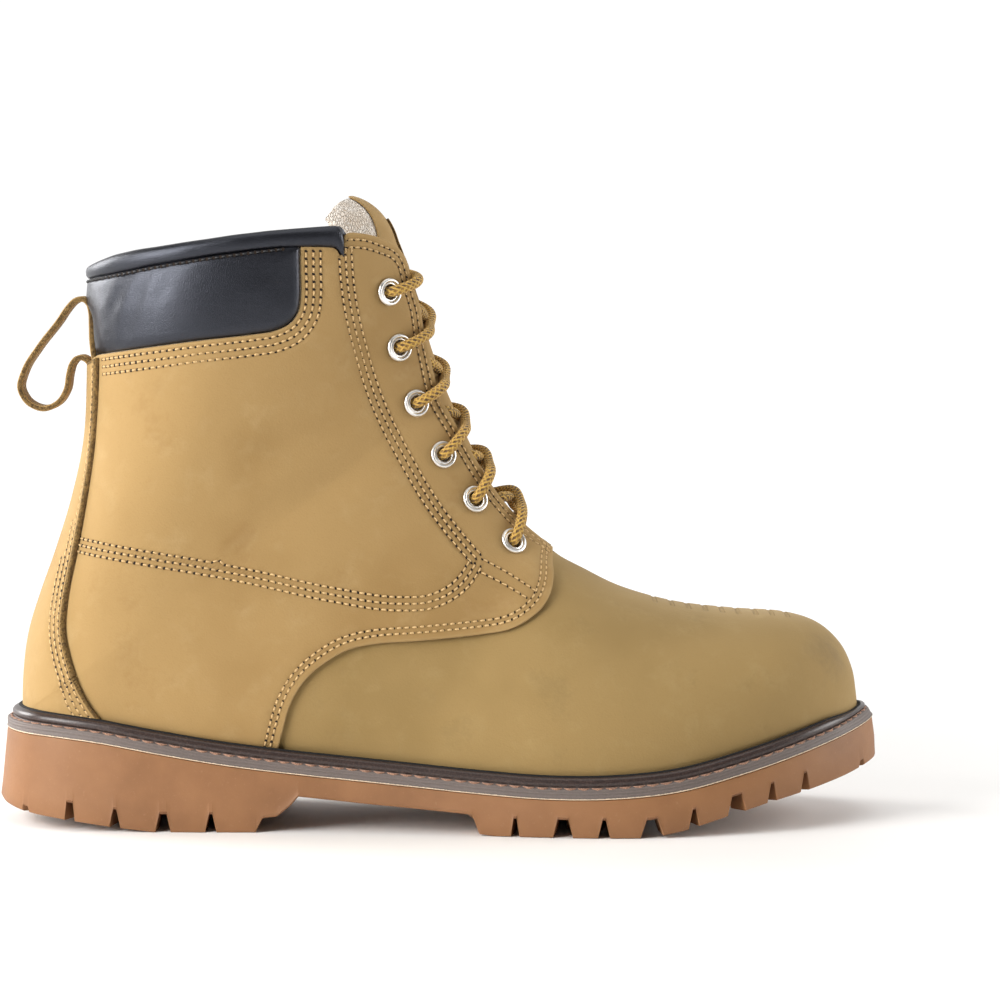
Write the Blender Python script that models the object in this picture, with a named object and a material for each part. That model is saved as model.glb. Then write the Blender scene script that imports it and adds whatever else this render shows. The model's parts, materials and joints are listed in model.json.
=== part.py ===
# Lace-up motorcycle boot for the right foot, about 315 mm long, standing on its sole.
# Lengths are millimetres from the heel's back end, Y is minus on the outer side of the foot and plus on
# the inner side, and Z is height above the floor. Meshes are turned into metres as they are made.
import math

import bmesh
import bpy
import numpy as np
from mathutils import Vector

for old in list(bpy.data.objects):
    bpy.data.objects.remove(old, do_unlink=True)

LATERAL = -1
MEDIAL = 1
SIDE_NAME = {LATERAL: "lateral", MEDIAL: "medial"}

# Driving sizes
MM = 0.001
GAP = 0.3
WALL = 2.2
LEATHER = 1.5
QUARTER_IN = GAP
QUARTER_OUT = GAP + LEATHER
BACKSTAY_IN = QUARTER_OUT + GAP
BACKSTAY_OUT = BACKSTAY_IN + LEATHER
STRIP_TALL = 4.6
BEAD_TALL = 8.1
INSOLE_THICK = 3.0
LUG_DEPTH = 6.3
LUG_INWARD = 13.0
SOLE_DRAFT = 1.2
SEAM_CLEAR = 0.4
WELD_SHIFT = 0.000237

# Outline of the outsole on the floor: length along the foot, outer edge, inner edge
SOLE_EDGE = [
    # x, lateral y, medial y
    (-1.0, 0.0, 0.0),
    (-0.7, -4.2, 4.2),
    (0.3, -8.4, 8.4),
    (3.0, -15.0, 15.0),
    (9.5, -23.6, 23.6),
    (22.0, -30.8, 30.5),
    (40.0, -35.3, 34.8),
    (65.0, -37.4, 36.4),
    (92.0, -38.2, 36.4),
    (120.0, -39.4, 36.8),
    (145.0, -42.2, 39.0),
    (170.0, -46.6, 43.0),
    (195.0, -51.0, 47.8),
    (216.0, -53.0, 50.8),
    (238.0, -52.0, 51.5),
    (258.0, -47.8, 49.8),
    (275.0, -41.2, 46.6),
    (291.0, -31.0, 40.3),
    (303.0, -18.8, 31.2),
    (310.5, -6.6, 20.8),
    (313.4, 1.2, 13.6),
    (314.0, 7.5, 7.5),
]

# Height of the gum sole's upper edge, where the strip begins
GUM_TOP = [
    (-1.0, 33.0), (12.0, 32.8), (36.0, 30.8), (58.0, 27.0), (81.0, 23.2), (105.0, 20.2), (125.0, 18.2),
    (147.0, 16.2), (170.0, 14.3), (193.0, 13.0), (216.0, 13.3), (239.0, 15.6), (262.0, 21.0), (287.0, 27.8),
    (314.0, 35.2),
]

# Height of the tread: heel bevel, heel flat, breast, arch, forefoot flat, toe spring
TREAD = [
    (-1.0, 6.6), (10.0, 5.4), (25.0, 3.6), (42.0, 1.5), (56.0, 0.0), (92.0, 0.0), (94.5, 5.0), (99.5, 5.6),
    (104.0, 9.2), (107.0, 12.6), (131.0, 10.2), (167.5, 7.3), (170.0, 0.6), (175.0, 0.0), (229.0, 0.0),
    (241.0, 2.4), (256.0, 6.8), (271.0, 10.8), (284.0, 13.6), (300.0, 17.2), (314.0, 20.6),
]

# Grooves between the side lugs: place along the foot, width at the roof, width at the floor
GROOVES = [
    (10.3, 2.6, 3.4), (26.7, 1.4, 2.4), (42.8, 2.6, 3.6), (59.7, 1.4, 2.4), (76.4, 2.6, 3.6),
    (182.3, 1.2, 2.4), (198.8, 4.6, 7.6), (213.0, 1.2, 2.4), (229.6, 4.6, 7.6), (244.3, 1.2, 2.4),
    (259.4, 4.6, 7.6), (272.2, 1.2, 2.4), (285.3, 4.0, 6.4), (301.2, 1.6, 2.8),
]

# Sections of the upper, a row per station from toe tip to above the collar. Each section runs from a foot
# point (on the bottom edge, then up the back seam) to a top point (on the vamp, then up the shaft's front).
# inset: bottom edge inside the outsole's outline; bulge: how far the side swells past the bottom edge;
# mid: share of the section's run where it is widest; top: roundness above that; ridge: y of the top;
# rise: how far the section bows upward
STATIONS = [
    # foot x, foot z, top x, top z, inset, bulge, half lat, half med, mid, top, ridge, rise
    (307.2, None, 307.2, 38.4, 6.8, 0.0, 0.0, 0.0, 0.4, 2.00, 7.5, 0.0),
    (305.6, None, 306.6, 45.0, 6.8, 0.5, 0.0, 0.0, 0.38, 2.10, 7.3, 0.0),
    (301.5, None, 304.9, 53.5, 6.8, 1.0, 0.0, 0.0, 0.36, 2.20, 7.0, 0.0),
    (294.8, None, 300.4, 62.0, 6.8, 1.5, 0.0, 0.0, 0.34, 2.30, 6.6, 0.0),
    (285.5, None, 292.2, 68.8, 6.8, 1.8, 0.0, 0.0, 0.32, 2.35, 6.0, 0.0),
    (273.0, None, 280.0, 72.4, 6.8, 2.0, 0.0, 0.0, 0.3, 2.35, 5.4, 0.0),
    (257.0, None, 262.0, 73.9, 6.8, 2.0, 0.0, 0.0, 0.28, 2.30, 4.8, 0.0),
    (238.0, None, 241.0, 76.6, 6.8, 2.0, 0.0, 0.0, 0.27, 2.20, 4.2, 0.0),
    (219.0, None, 222.0, 82.0, 6.8, 2.0, 0.0, 0.0, 0.26, 2.05, 3.6, 0.0),
    (202.0, None, 208.0, 88.8, 6.8, 2.2, 0.0, 0.0, 0.26, 1.95, 3.0, 0.0),
    (184.0, None, 198.0, 94.4, 6.9, 2.5, 42.2, 38.6, 0.27, 1.85, 2.4, 0.0),
    (162.0, None, 192.3, 101.4, 7.3, 2.8, 39.4, 35.9, 0.28, 1.80, 1.9, 0.0),
    (136.0, None, 187.2, 107.8, 7.7, 3.0, 36.9, 33.8, 0.295, 1.80, 1.5, 0.0),
    (107.0, None, 182.2, 115.3, 8.0, 3.0, 36.0, 33.8, 0.31, 1.85, 1.1, 0.0),
    (77.0, None, 177.2, 123.8, 8.2, 3.0, 35.5, 34.1, 0.32, 1.90, 0.8, 0.0),
    (50.0, None, 172.2, 133.8, 8.6, 3.0, 35.2, 34.3, 0.325, 1.95, 0.5, 0.0),
    (29.0, None, 167.5, 143.8, 9.4, 3.0, 35.0, 34.4, 0.325, 2.00, 0.3, 0.0),
    (16.0, None, 164.7, 150.3, 10.6, 3.0, 34.9, 34.5, 0.325, 2.00, 0.1, 0.0),
    (10.6, None, 162.2, 156.3, 11.6, 3.0, 34.8, 34.6, 0.325, 2.00, 0.0, 0.3),
    (10.9, 52.0, 159.7, 163.3, 11.6, 3.0, 34.7, 34.7, 0.335, 2.05, 0.0, 0.7),
    (12.9, 66.0, 157.3, 170.6, 11.6, 3.0, 34.7, 34.7, 0.35, 2.10, 0.0, 1.2),
    (17.2, 80.0, 155.1, 178.0, 11.6, 3.0, 35.0, 35.0, 0.37, 2.10, 0.0, 1.8),
    (23.2, 97.0, 153.0, 185.1, 11.6, 3.0, 35.6, 35.6, 0.39, 2.15, 0.0, 2.5),
    (28.9, 115.0, 150.9, 191.6, 11.6, 3.0, 36.4, 36.4, 0.41, 2.20, 0.0, 3.2),
    (32.9, 134.0, 149.0, 197.3, 11.6, 3.0, 37.3, 37.3, 0.43, 2.20, 0.0, 3.9),
    (34.3, 155.0, 147.4, 201.9, 11.6, 3.0, 38.3, 38.3, 0.45, 2.20, 0.0, 4.5),
    (34.4, 176.0, 146.0, 205.6, 11.6, 3.0, 39.3, 39.3, 0.46, 2.20, 0.0, 5.0),
    (34.0, 196.6, 144.9, 208.6, 11.6, 3.0, 40.0, 40.0, 0.47, 2.20, 0.0, 5.2),
    (33.4, 207.0, 141.5, 220.0, 11.6, 3.0, 40.4, 40.4, 0.47, 2.20, 0.0, 5.2),
]
FOOT_X, FOOT_Z, TOP_X, TOP_Z, INSET, BULGE, HALF_LAT, HALF_MED, MID, TOP, RIDGE, RISE = range(12)
THROAT = 10.0
FOREFOOT_END = 12.0
HEEL = 18.0
COLLAR = 27.0
ARC_SPLIT = 0.35

# Half the opening between the eyestays, by station
THROAT_GAP = [(10.0, 0.0), (10.15, 4.2), (10.4, 6.6), (11.0, 9.2), (13.0, 11.2), (16.0, 12.2), (20.0, 12.8),
              (24.0, 13.4), (28.0, 14.0)]

# Seams of the outer side, seen square from the side: length along the foot, height
QUARTER_FRONT = [(95.4, 26.5), (99.0, 43.1), (104.3, 53.9), (111.3, 61.0), (123.5, 66.3), (142.6, 68.3),
                 (166.8, 70.8), (182.0, 73.6), (190.6, 77.6), (195.0, 84.0), (196.4, 92.4)]
BACKSTAY_FRONT = [(35.2, 165.0), (34.4, 144.6), (33.6, 134.1), (30.9, 114.8), (28.0, 98.1), (24.8, 80.1),
                  (24.1, 71.5), (27.0, 57.8), (32.4, 46.0), (38.8, 37.0)]
PAD_FOOT = [(36.0, 166.0), (55.0, 169.0), (75.4, 171.8), (99.4, 174.6), (108.7, 178.0)]
PAD_END = {LATERAL: 108.7, MEDIAL: 80.0}
SEAM_BINDING = [(34.0, 192.6), (59.8, 197.5), (87.7, 201.8), (108.7, 204.0), (124.0, 204.0), (132.0, 205.6),
                (146.0, 208.0)]
BINDING_END = {LATERAL: 124.0, MEDIAL: 88.0}
EYELETS = [(138.8, 188.1), (142.2, 168.6), (148.1, 149.0), (157.6, 130.8), (168.8, 115.0), (182.4, 100.1)]


def smooth(table, column, at):
    """Cubic through a short table's column, with parabola slopes; at is a number or an array."""
    knots = np.array([row[0] for row in table], float)
    values = np.array([row[column] for row in table], float)
    step = np.diff(knots)
    rise = np.diff(values) / step
    slope = np.empty_like(values)
    slope[1:-1] = (rise[:-1] * step[1:] + rise[1:] * step[:-1]) / (step[:-1] + step[1:])
    slope[0] = 2 * rise[0] - slope[1]
    slope[-1] = 2 * rise[-1] - slope[-2]
    at = np.asarray(at, float)
    k = np.clip(np.searchsorted(knots, at, side="right") - 1, 0, len(knots) - 2)
    t = (at - knots[k]) / step[k]
    ends = values[k] * (1 + 2 * t) * (1 - t) ** 2 + values[k + 1] * t * t * (3 - 2 * t)
    bends = step[k] * (slope[k] * t * (1 - t) ** 2 - slope[k + 1] * t * t * (1 - t))
    return ends + bends


def line(table, at, column=1):
    """Straight runs between a short table's rows."""
    return np.interp(at, [row[0] for row in table], [row[column] for row in table])


def gum_top(x):
    return smooth(GUM_TOP, 1, np.clip(x, GUM_TOP[0][0], GUM_TOP[-1][0]))


def feather_z(x):
    """Height of the upper's bottom edge, which stands on the strip."""
    return gum_top(x) + STRIP_TALL + GAP


# Outline of the sole as a fine chain of points and outward normals for each side, heel to toe
FINE = 481


def edge_chain(side):
    column = 1 if side == LATERAL else 2
    corner = np.array([(row[0], row[column]) for row in SOLE_EDGE], float)
    run = np.concatenate([[0.0], np.cumsum(np.hypot(*np.diff(corner, axis=0).T))])
    table = [(r, x, y) for r, (x, y) in zip(run, corner)]
    at = np.linspace(0.0, run[-1], FINE)
    points = np.stack([smooth(table, 1, at), smooth(table, 2, at)], axis=1)
    points[0, 1] = corner[0, 1]
    along = np.gradient(points, axis=0)
    along[0] = (0.0, side)
    along[-1] = (0.0, -side)
    normal = np.stack([-along[:, 1], along[:, 0]], axis=1) * side
    return points, normal / np.linalg.norm(normal, axis=1, keepdims=True)


CHAIN = {side: edge_chain(side) for side in (LATERAL, MEDIAL)}
CENTRE_X = (SOLE_EDGE[0][0] + SOLE_EDGE[-1][0]) / 2
CENTRE_Y = (CHAIN[LATERAL][0][:, 1].min() + CHAIN[MEDIAL][0][:, 1].max()) / 2


def edge_at(side, x, inset):
    """Point and outward normal of the outline moved inward, where it has this length along the foot."""
    points, normal = CHAIN[side]
    moved = points - normal * inset
    order = np.maximum.accumulate(moved[:, 0]) + np.arange(FINE) * 1e-7
    y = np.interp(x, order, moved[:, 1])
    nx = np.interp(x, order, normal[:, 0])
    ny = np.interp(x, order, normal[:, 1])
    return y, nx, ny


# The upper's form, as one function of station, place along the half section, side and outward offset
STATION_TABLE = [(float(k),) + row for k, row in enumerate(STATIONS)]
BACK_TABLE = [(float(k), row[FOOT_X], feather_z(row[FOOT_X]) if row[FOOT_Z] is None else row[FOOT_Z])
              for k, row in enumerate(STATIONS) if k >= HEEL]


def station(column, u):
    return smooth(STATION_TABLE, column + 1, u)


def foot_line(side):
    """Fine chain of foot points and their outward normals, by station."""
    at = np.linspace(0.0, HEEL, 721)
    rows = []
    for u in at:
        x = float(station(FOOT_X, u))
        y, nx, ny = edge_at(side, x, float(station(INSET, u)))
        rows.append((u, x, y, float(feather_z(x)), nx, ny, 0.0))
    rows[0] = rows[0][:2] + (STATIONS[0][RIDGE],) + rows[0][3:4] + (1.0, 0.0, 0.0)
    rows[-1] = rows[-1][:2] + (0.0,) + rows[-1][3:4] + (-1.0, 0.0, 0.0)
    for u in np.linspace(HEEL + 0.02, len(STATIONS) - 1, 240):
        low = np.array([smooth(BACK_TABLE, c, u - 0.01) for c in (1, 2)])
        high = np.array([smooth(BACK_TABLE, c, u + 0.01) for c in (1, 2)])
        turn = (high - low) / np.linalg.norm(high - low)
        x, z = (low + high) / 2
        rows.append((u, x, 0.0, z, -turn[1], 0.0, turn[0]))
    return np.array(rows)


FOOT = {side: foot_line(side) for side in (LATERAL, MEDIAL)}


def form(u, v, side, offset=0.0):
    """Points of the upper's form, offset outward; u, v and offset are arrays of one shape, or numbers."""
    u, v, offset = np.broadcast_arrays(np.asarray(u, float), np.asarray(v, float), np.asarray(offset, float))
    foot = [np.interp(u, FOOT[side][:, 0], FOOT[side][:, c]) for c in range(1, 7)]
    foot_x = foot[0] + offset * foot[3]
    foot_y = foot[1] + offset * foot[4]
    foot_z = foot[2] + offset * foot[5]
    step_x = station(TOP_X, u + 0.02) - station(TOP_X, u - 0.02)
    step_z = station(TOP_Z, u + 0.02) - station(TOP_Z, u - 0.02)
    size = np.hypot(step_x, step_z)
    top_x = station(TOP_X, u) + offset * step_z / size
    top_z = station(TOP_Z, u) - offset * step_x / size
    half_table = station(HALF_LAT if side == LATERAL else HALF_MED, u)
    half = np.where(u < FOREFOOT_END, side * foot[1] + station(BULGE, u), half_table) + offset
    ridge = station(RIDGE, u)
    mid = station(MID, u)
    top = 2.0 / station(TOP, u)
    lower = v <= ARC_SPLIT
    wide = half - side * ridge
    begin = np.arcsin(np.clip((side * (foot_y - ridge)) / np.where(wide > 1e-6, wide, 1.0), -0.9, 0.9999))
    a = begin + (math.pi / 2 - begin) * np.clip(v / ARC_SPLIT, 0.0, 1.0)
    b = np.clip((v - ARC_SPLIT) / (1 - ARC_SPLIT), 0.0, 1.0) * math.pi / 2
    y = ridge + side * wide * np.where(lower, np.sin(a), np.clip(np.cos(b), 0.0, 1.0) ** top)
    run = np.where(lower, mid * (1 - np.cos(a) / np.cos(begin)), mid + (1 - mid) * np.sin(b) ** top)
    x = foot_x + (top_x - foot_x) * run
    z = foot_z + (top_z - foot_z) * run + station(RISE, u) * np.sin(math.pi * run)
    return np.stack([x, y, z], axis=-1)


def facing(u, v, side, offset=0.0):
    """Outward unit normal of the form at one place."""
    step = 0.01
    along = form(u + step, v, side, offset) - form(u - step, v, side, offset)
    across = form(u, min(v + step, 1.0), side, offset) - form(u, max(v - step, 0.0), side, offset)
    normal = np.cross(along, across) * side
    return normal / np.linalg.norm(normal)


def top_share(u, side, gap):
    """Place along the half section where it is this far from the ridge."""
    ridge = station(RIDGE, u)
    half = np.maximum(form(u, ARC_SPLIT, side)[..., 1] * side - ridge * side, 1.0)
    share = np.clip(gap / half, 0.0, 1.0) ** (station(TOP, u) / 2)
    return ARC_SPLIT + (1 - ARC_SPLIT) * np.arccos(share) / (math.pi / 2)


def throat_share(u, side):
    return np.where(np.asarray(u) <= THROAT, 1.0, top_share(u, side, line(THROAT_GAP, u)))


def place(x, z, side, offset=0.0):
    """Station and share of the form that show at this length and height from the side."""
    us = np.linspace(0.3, COLLAR + 0.9, 140)
    vs = np.linspace(0.0, 1.0, 90)
    grid = form(us[:, None], vs[None, :], side, offset)
    miss = (grid[..., 0] - x) ** 2 + (grid[..., 2] - z) ** 2
    i, j = np.unravel_index(np.argmin(miss), miss.shape)
    u, v = us[i], vs[j]
    for _ in range(12):
        here = form(u, v, side, offset)[[0, 2]]
        du = (form(u + 1e-3, v, side, offset)[[0, 2]] - here) / 1e-3
        dv = (form(u, min(v + 1e-3, 1.0), side, offset)[[0, 2]] - here) / 1e-3
        pull = np.stack([du, dv], axis=1)
        if abs(np.linalg.det(pull)) < 1e-6:
            break
        change = np.linalg.solve(pull, np.array([x, z]) - here)
        u = float(np.clip(u + np.clip(change[0], -0.5, 0.5), 0.0, COLLAR + 1.0))
        v = float(np.clip(v + np.clip(change[1], -0.1, 0.1), 0.0, 0.998))
    return u, v


def to_frame(points):
    points = np.asarray(points, float).reshape(-1, 3)
    return (points - np.array([CENTRE_X, CENTRE_Y, 0.0])) * MM


def solid(name, points, faces):
    """Closed mesh object from millimetre points."""
    mesh = bpy.data.meshes.new(name)
    mesh.from_pydata([tuple(p) for p in to_frame(points)], [], faces)
    work = bmesh.new()
    work.from_mesh(mesh)
    bmesh.ops.remove_doubles(work, verts=work.verts, dist=1e-6)
    bmesh.ops.dissolve_degenerate(work, dist=1e-6, edges=work.edges)
    bmesh.ops.triangulate(work, faces=work.faces)
    bmesh.ops.recalc_face_normals(work, faces=work.faces)
    work.to_mesh(mesh)
    work.free()
    obj = bpy.data.objects.new(name, mesh)
    bpy.context.scene.collection.objects.link(obj)
    return obj


def sheet(name, outer, inner, mask=None):
    """Closed solid between two grids of points; cells outside the mask are left open."""
    rows, columns = outer.shape[:2]
    if mask is None:
        mask = np.ones((rows - 1, columns - 1), bool)
    flat = outer.reshape(-1, 3)
    _, ids = np.unique(np.round(flat + WELD_SHIFT, 3), axis=0, return_inverse=True)
    ids = ids.reshape(-1)
    count = ids.max() + 1
    share = np.bincount(ids, minlength=count)[:, None]
    outer_points = np.zeros((count, 3))
    inner_points = np.zeros((count, 3))
    np.add.at(outer_points, ids, flat)
    np.add.at(inner_points, ids, inner.reshape(-1, 3))
    ids = ids.reshape(rows, columns)
    faces = []
    edges = {}
    for i in range(rows - 1):
        for j in range(columns - 1):
            if not mask[i, j]:
                continue
            corner = [ids[i, j], ids[i, j + 1], ids[i + 1, j + 1], ids[i + 1, j]]
            ring = [int(c) for k, c in enumerate(corner) if c != corner[k - 1]]
            if len(set(ring)) < 3:
                continue
            faces.append(ring)
            faces.append([c + count for c in reversed(ring)])
            for k, c in enumerate(ring):
                pair = (ring[k - 1], c)
                key = tuple(sorted(pair))
                edges.setdefault(key, []).append(pair)
    for pairs in edges.values():
        if len(pairs) == 1:
            a, b = pairs[0]
            faces.append([b, a, a + count, b + count])
    return solid(name, np.concatenate([outer_points / share, inner_points / share]), faces)


def rings(name, loops, across_first, across_last):
    """Closed solid from loops that run heel to toe on each side, closed by strips across first and last."""
    points = []
    faces = []
    size = len(loops[0][LATERAL])
    index = []
    for loop in loops:
        index.append({})
        for side in (LATERAL, MEDIAL):
            index[-1][side] = list(range(len(points), len(points) + size))
            points.extend(loop[side])
    for low, high in zip(index, index[1:]):
        for side in (LATERAL, MEDIAL):
            for k in range(size - 1):
                faces.append([low[side][k], low[side][k + 1], high[side][k + 1], high[side][k]])
    for loop, wanted in ((index[0], across_first), (index[-1], across_last)):
        for k in range(size - 1) if wanted else ():
            faces.append([loop[LATERAL][k], loop[LATERAL][k + 1], loop[MEDIAL][k + 1], loop[MEDIAL][k]])
    return solid(name, points, faces)


def outline_loop(stations, inset, height):
    """Loop at an inset from the outline, one point per station on each side."""
    loop = {}
    for side in (LATERAL, MEDIAL):
        points, normal = CHAIN[side]
        order = np.maximum.accumulate(points[:, 0]) + np.arange(FINE) * 1e-7
        at = np.interp(stations, order, np.arange(FINE))
        at[[0, -1]] = (0, FINE - 1)
        p = np.stack([np.interp(at, np.arange(FINE), points[:, c]) for c in (0, 1)], axis=1)
        n = np.stack([np.interp(at, np.arange(FINE), normal[:, c]) for c in (0, 1)], axis=1)
        n /= np.linalg.norm(n, axis=1, keepdims=True)
        moved = p - n * np.broadcast_to(inset, (len(stations),))[:, None]
        z = height(moved[:, 0])
        loop[side] = np.column_stack([moved, z])
    return loop


def combine(obj, other, operation):
    """Boolean of the object with a helper, which is dropped."""
    change = obj.modifiers.new(operation.lower(), "BOOLEAN")
    change.operation = operation
    change.solver = "EXACT"
    change.object = other
    bpy.context.view_layer.update()
    made = bpy.data.meshes.new_from_object(obj.evaluated_get(bpy.context.evaluated_depsgraph_get()))
    obj.modifiers.clear()
    obj.data = made
    bpy.data.objects.remove(other, do_unlink=True)
    return obj


def turned(profile, segments, where, axis):
    """Ring turned about an axis: profile is a closed list of radius and height."""
    spin = Vector((0, 0, 1)).rotation_difference(Vector(axis)).to_matrix()
    points = []
    faces = []
    for k in range(segments):
        angle = 2 * math.pi * k / segments
        for radius, height in profile:
            local = Vector((radius * math.cos(angle), radius * math.sin(angle), height))
            points.append(np.array(spin @ local) + np.asarray(where))
    size = len(profile)
    for k in range(segments):
        for j in range(size):
            a, b = k * size, ((k + 1) % segments) * size
            faces.append([a + j, b + j, b + (j + 1) % size, a + (j + 1) % size])
    return points, faces


def tube(path, radius, segments=6):
    """Round rod along a path, with flat ends."""
    path = [Vector(p) for p in path]
    points = []
    faces = []
    side = None
    for k, p in enumerate(path):
        ahead = (path[min(k + 1, len(path) - 1)] - path[max(k - 1, 0)]).normalized()
        side = ahead.orthogonal() if side is None else side - ahead * side.dot(ahead)
        side.normalize()
        other = ahead.cross(side)
        for j in range(segments):
            angle = 2 * math.pi * j / segments
            points.append(np.array(p + (side * math.cos(angle) + other * math.sin(angle)) * radius))
    for k in range(len(path) - 1):
        for j in range(segments):
            n = (j + 1) % segments
            faces.append([k * segments + j, k * segments + n, (k + 1) * segments + n, (k + 1) * segments + j])
    faces.append(list(range(segments))[::-1])
    faces.append([(len(path) - 1) * segments + j for j in range(segments)])
    return points, faces


# Sole: lugs and grooves as levels of one closed form
def sole_stations():
    """Places along the foot with a flag for each: on a lug or in a groove."""
    rows = [(x, True) for x in (-1.0, -0.6, 0.4, 2.2, 5.0, 16.0, 21.0, 33.0, 50.0, 56.0, 68.0, 85.0, 92.0)]
    rows += [(x, True) for x in (94.5, 99.5, 104.0, 107.0, 119.0, 131.0, 149.0, 167.5, 170.0, 175.0)]
    rows += [(x, True) for x in (190.0, 206.0, 221.0, 237.0, 251.0, 266.0, 279.0, 293.0, 297.0)]
    rows += [(x, True) for x in (306.0, 309.5, 312.0, 313.3, 313.85, 314.0)]
    for x, roof, floor in GROOVES:
        rows += [(x - floor / 2, True), (x - roof / 2, False), (x + roof / 2, False), (x + floor / 2, True)]
    return sorted(rows)


ARCH_START = 93.0
ARCH_END = 169.0
ARCH_ROOF = [(92.0, 6.3), (94.5, 5.6), (99.5, 6.2), (104.0, 9.6), (107.0, 12.9), (131.0, 10.5), (167.5, 7.6),
             (170.0, 7.0), (175.0, 6.3)]


def roof(x):
    """Height of the grooves' roof."""
    arch = (x > ARCH_START - 1.0) & (x < ARCH_END + 6.0)
    return np.where(arch, np.maximum(line(ARCH_ROOF, x), line(TREAD, x) + 0.3), line(TREAD, x) + LUG_DEPTH)


# Lugs across the middle of the tread: first and last place along the foot, outer end, inner end
CENTRE_LUGS = [
    (31.0, 38.0, -13.0, 13.0), (48.0, 55.0, -18.0, 17.0), (66.0, 73.0, -19.0, 18.0), (82.0, 89.0, -19.0, 18.0),
    (184.0, 192.0, -28.0, 25.0), (201.0, 209.0, -32.0, 29.0), (218.0, 226.0, -33.0, 31.0), (234.0, 241.0, -31.0, 31.0),
    (249.0, 256.0, -26.0, 28.0), (264.0, 271.0, -18.0, 23.0),
]
LUG_TAPER = 1.0


def centre_lug(first, last, lateral_y, medial_y):
    """Bar that narrows downward, from inside the sole to the tread."""
    points = []
    for grow, level in ((0.0, 0.0), (LUG_TAPER, LUG_DEPTH + 1.5)):
        for x, y in ((first - grow, lateral_y - grow), (last + grow, lateral_y - grow),
                     (last + grow, medial_y + grow), (first - grow, medial_y + grow)):
            points.append((x, y, float(line(TREAD, x)) + level))
    faces = [[0, 1, 2, 3], [4, 5, 6, 7]] + [[k, (k + 1) % 4, (k + 1) % 4 + 4, k + 4] for k in range(4)]
    return solid("helper", points, faces)


def build_outsole():
    rows = sole_stations()
    at = np.array([r[0] for r in rows])
    lug = np.array([r[1] for r in rows])
    tread = outline_loop(at, 0.0, lambda x: x)
    for side in (LATERAL, MEDIAL):
        x = tread[side][:, 0]
        tread[side][:, 2] = np.where(lug, line(TREAD, x), roof(x))
    inner = outline_loop(at, LUG_INWARD, lambda x: x)
    for side in (LATERAL, MEDIAL):
        x = inner[side][:, 0]
        inner[side][:, 2] = np.where(lug, line(TREAD, x), roof(x))
        inner[side][[0, -1], 1] = (inner[LATERAL][[0, -1], 1] + inner[MEDIAL][[0, -1], 1]) / 2
    wall = outline_loop(at, LUG_INWARD + 1.6, roof)
    for side in (LATERAL, MEDIAL):
        wall[side][[0, -1], 1] = (wall[LATERAL][[0, -1], 1] + wall[MEDIAL][[0, -1], 1]) / 2
    upper_edge = outline_loop(at, SOLE_DRAFT, gum_top)
    sole = rings("outsole", [upper_edge, tread, inner, wall], True, True)
    for first, last, lateral_y, medial_y in CENTRE_LUGS:
        combine(sole, centre_lug(first, last, lateral_y, medial_y), "UNION")
    return sole


def build_welt():
    """Strip with the raised bead round it, as one plate under the upper."""
    ends_low = [-1.0, -0.6, 0.4, 2.2, 5.0, 9.5, 16.0, 24.0]
    ends_high = [280.0, 287.0, 294.0, 300.0, 306.0, 309.5, 312.0, 313.3, 313.85, 314.0]
    at = np.array(ends_low + list(np.linspace(39.0, 266.0, 14)) + ends_high)
    swell = 1.0 + 0.45 * np.clip((45.0 - at) / 40.0, 0.0, 1.0)
    profile = [(1.5, GAP), (SOLE_DRAFT, 4.2), (1.9, 4.7), (2.4, 7.0), (3.8, BEAD_TALL), (4.9, 7.2), (5.1, STRIP_TALL)]
    loops = []
    for inset, height in profile:
        moved = np.where(inset > 2.0, inset * swell, inset)
        loops.append(outline_loop(at, moved, lambda x, h=height: gum_top(x) + h))
    return rings("welt", loops, True, True)


def build_insole():
    share = np.array([0.0, 0.001, 0.005, 0.015, 0.03, 0.06, 0.1] + list(np.linspace(0.15, 0.9, 16))
                     + [0.935, 0.96, 0.98, 0.99, 0.997, 1.0])
    margin = WALL + 0.9
    chains = {}
    for side in (LATERAL, MEDIAL):
        foot = FOOT[side][FOOT[side][:, 0] <= HEEL][::-1]
        x = np.maximum.accumulate(foot[:, 1] - margin * foot[:, 4])
        chains[side] = (x + np.arange(len(x)) * 1e-7, foot[:, 2] - margin * foot[:, 5])
    low = max(chain[0][0] for chain in chains.values())
    high = min(chain[0][-1] for chain in chains.values())
    x = low + (high - low) * share
    y = {side: np.interp(x, *chains[side]) for side in chains}
    ends = [0, -1]
    middle = (y[LATERAL][ends] + y[MEDIAL][ends]) / 2
    loops = []
    for height in (0.0, INSOLE_THICK):
        loop = {}
        for side in (LATERAL, MEDIAL):
            y[side][ends] = middle
            loop[side] = np.column_stack([x, y[side], feather_z(x) + height])
        loops.append(loop)
    return rings("insole", loops, True, True)


# Upper
UPPER_ROWS = [0.0, 0.5, 1.2, 2.0, 3.0, 4.0, 5.0, 6.2, 7.5, 9.0, 10.0, 10.15, 10.4, 11.0, 12.0, 13.3, 14.6, 15.9, 17.0,
              17.6, 18.0, 18.8, 20.0, 21.5, 23.0, 24.5, 25.8, 27.0]
UPPER_COLUMNS = [0.0, 0.08, 0.17, 0.26, 0.35, 0.46, 0.58, 0.71, 0.85, 1.0]


def top_station(side):
    """Station of the binding seam, by share of the half section."""
    rows = []
    for x, z in SEAM_BINDING:
        u, v = place(x, z, side)
        rows.append((v, min(u, COLLAR)))
    rows = sorted(rows)
    rows[0] = (0.0, rows[0][1])
    return rows


TOP_EDGE = {side: top_station(side) for side in (LATERAL, MEDIAL)}


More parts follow.
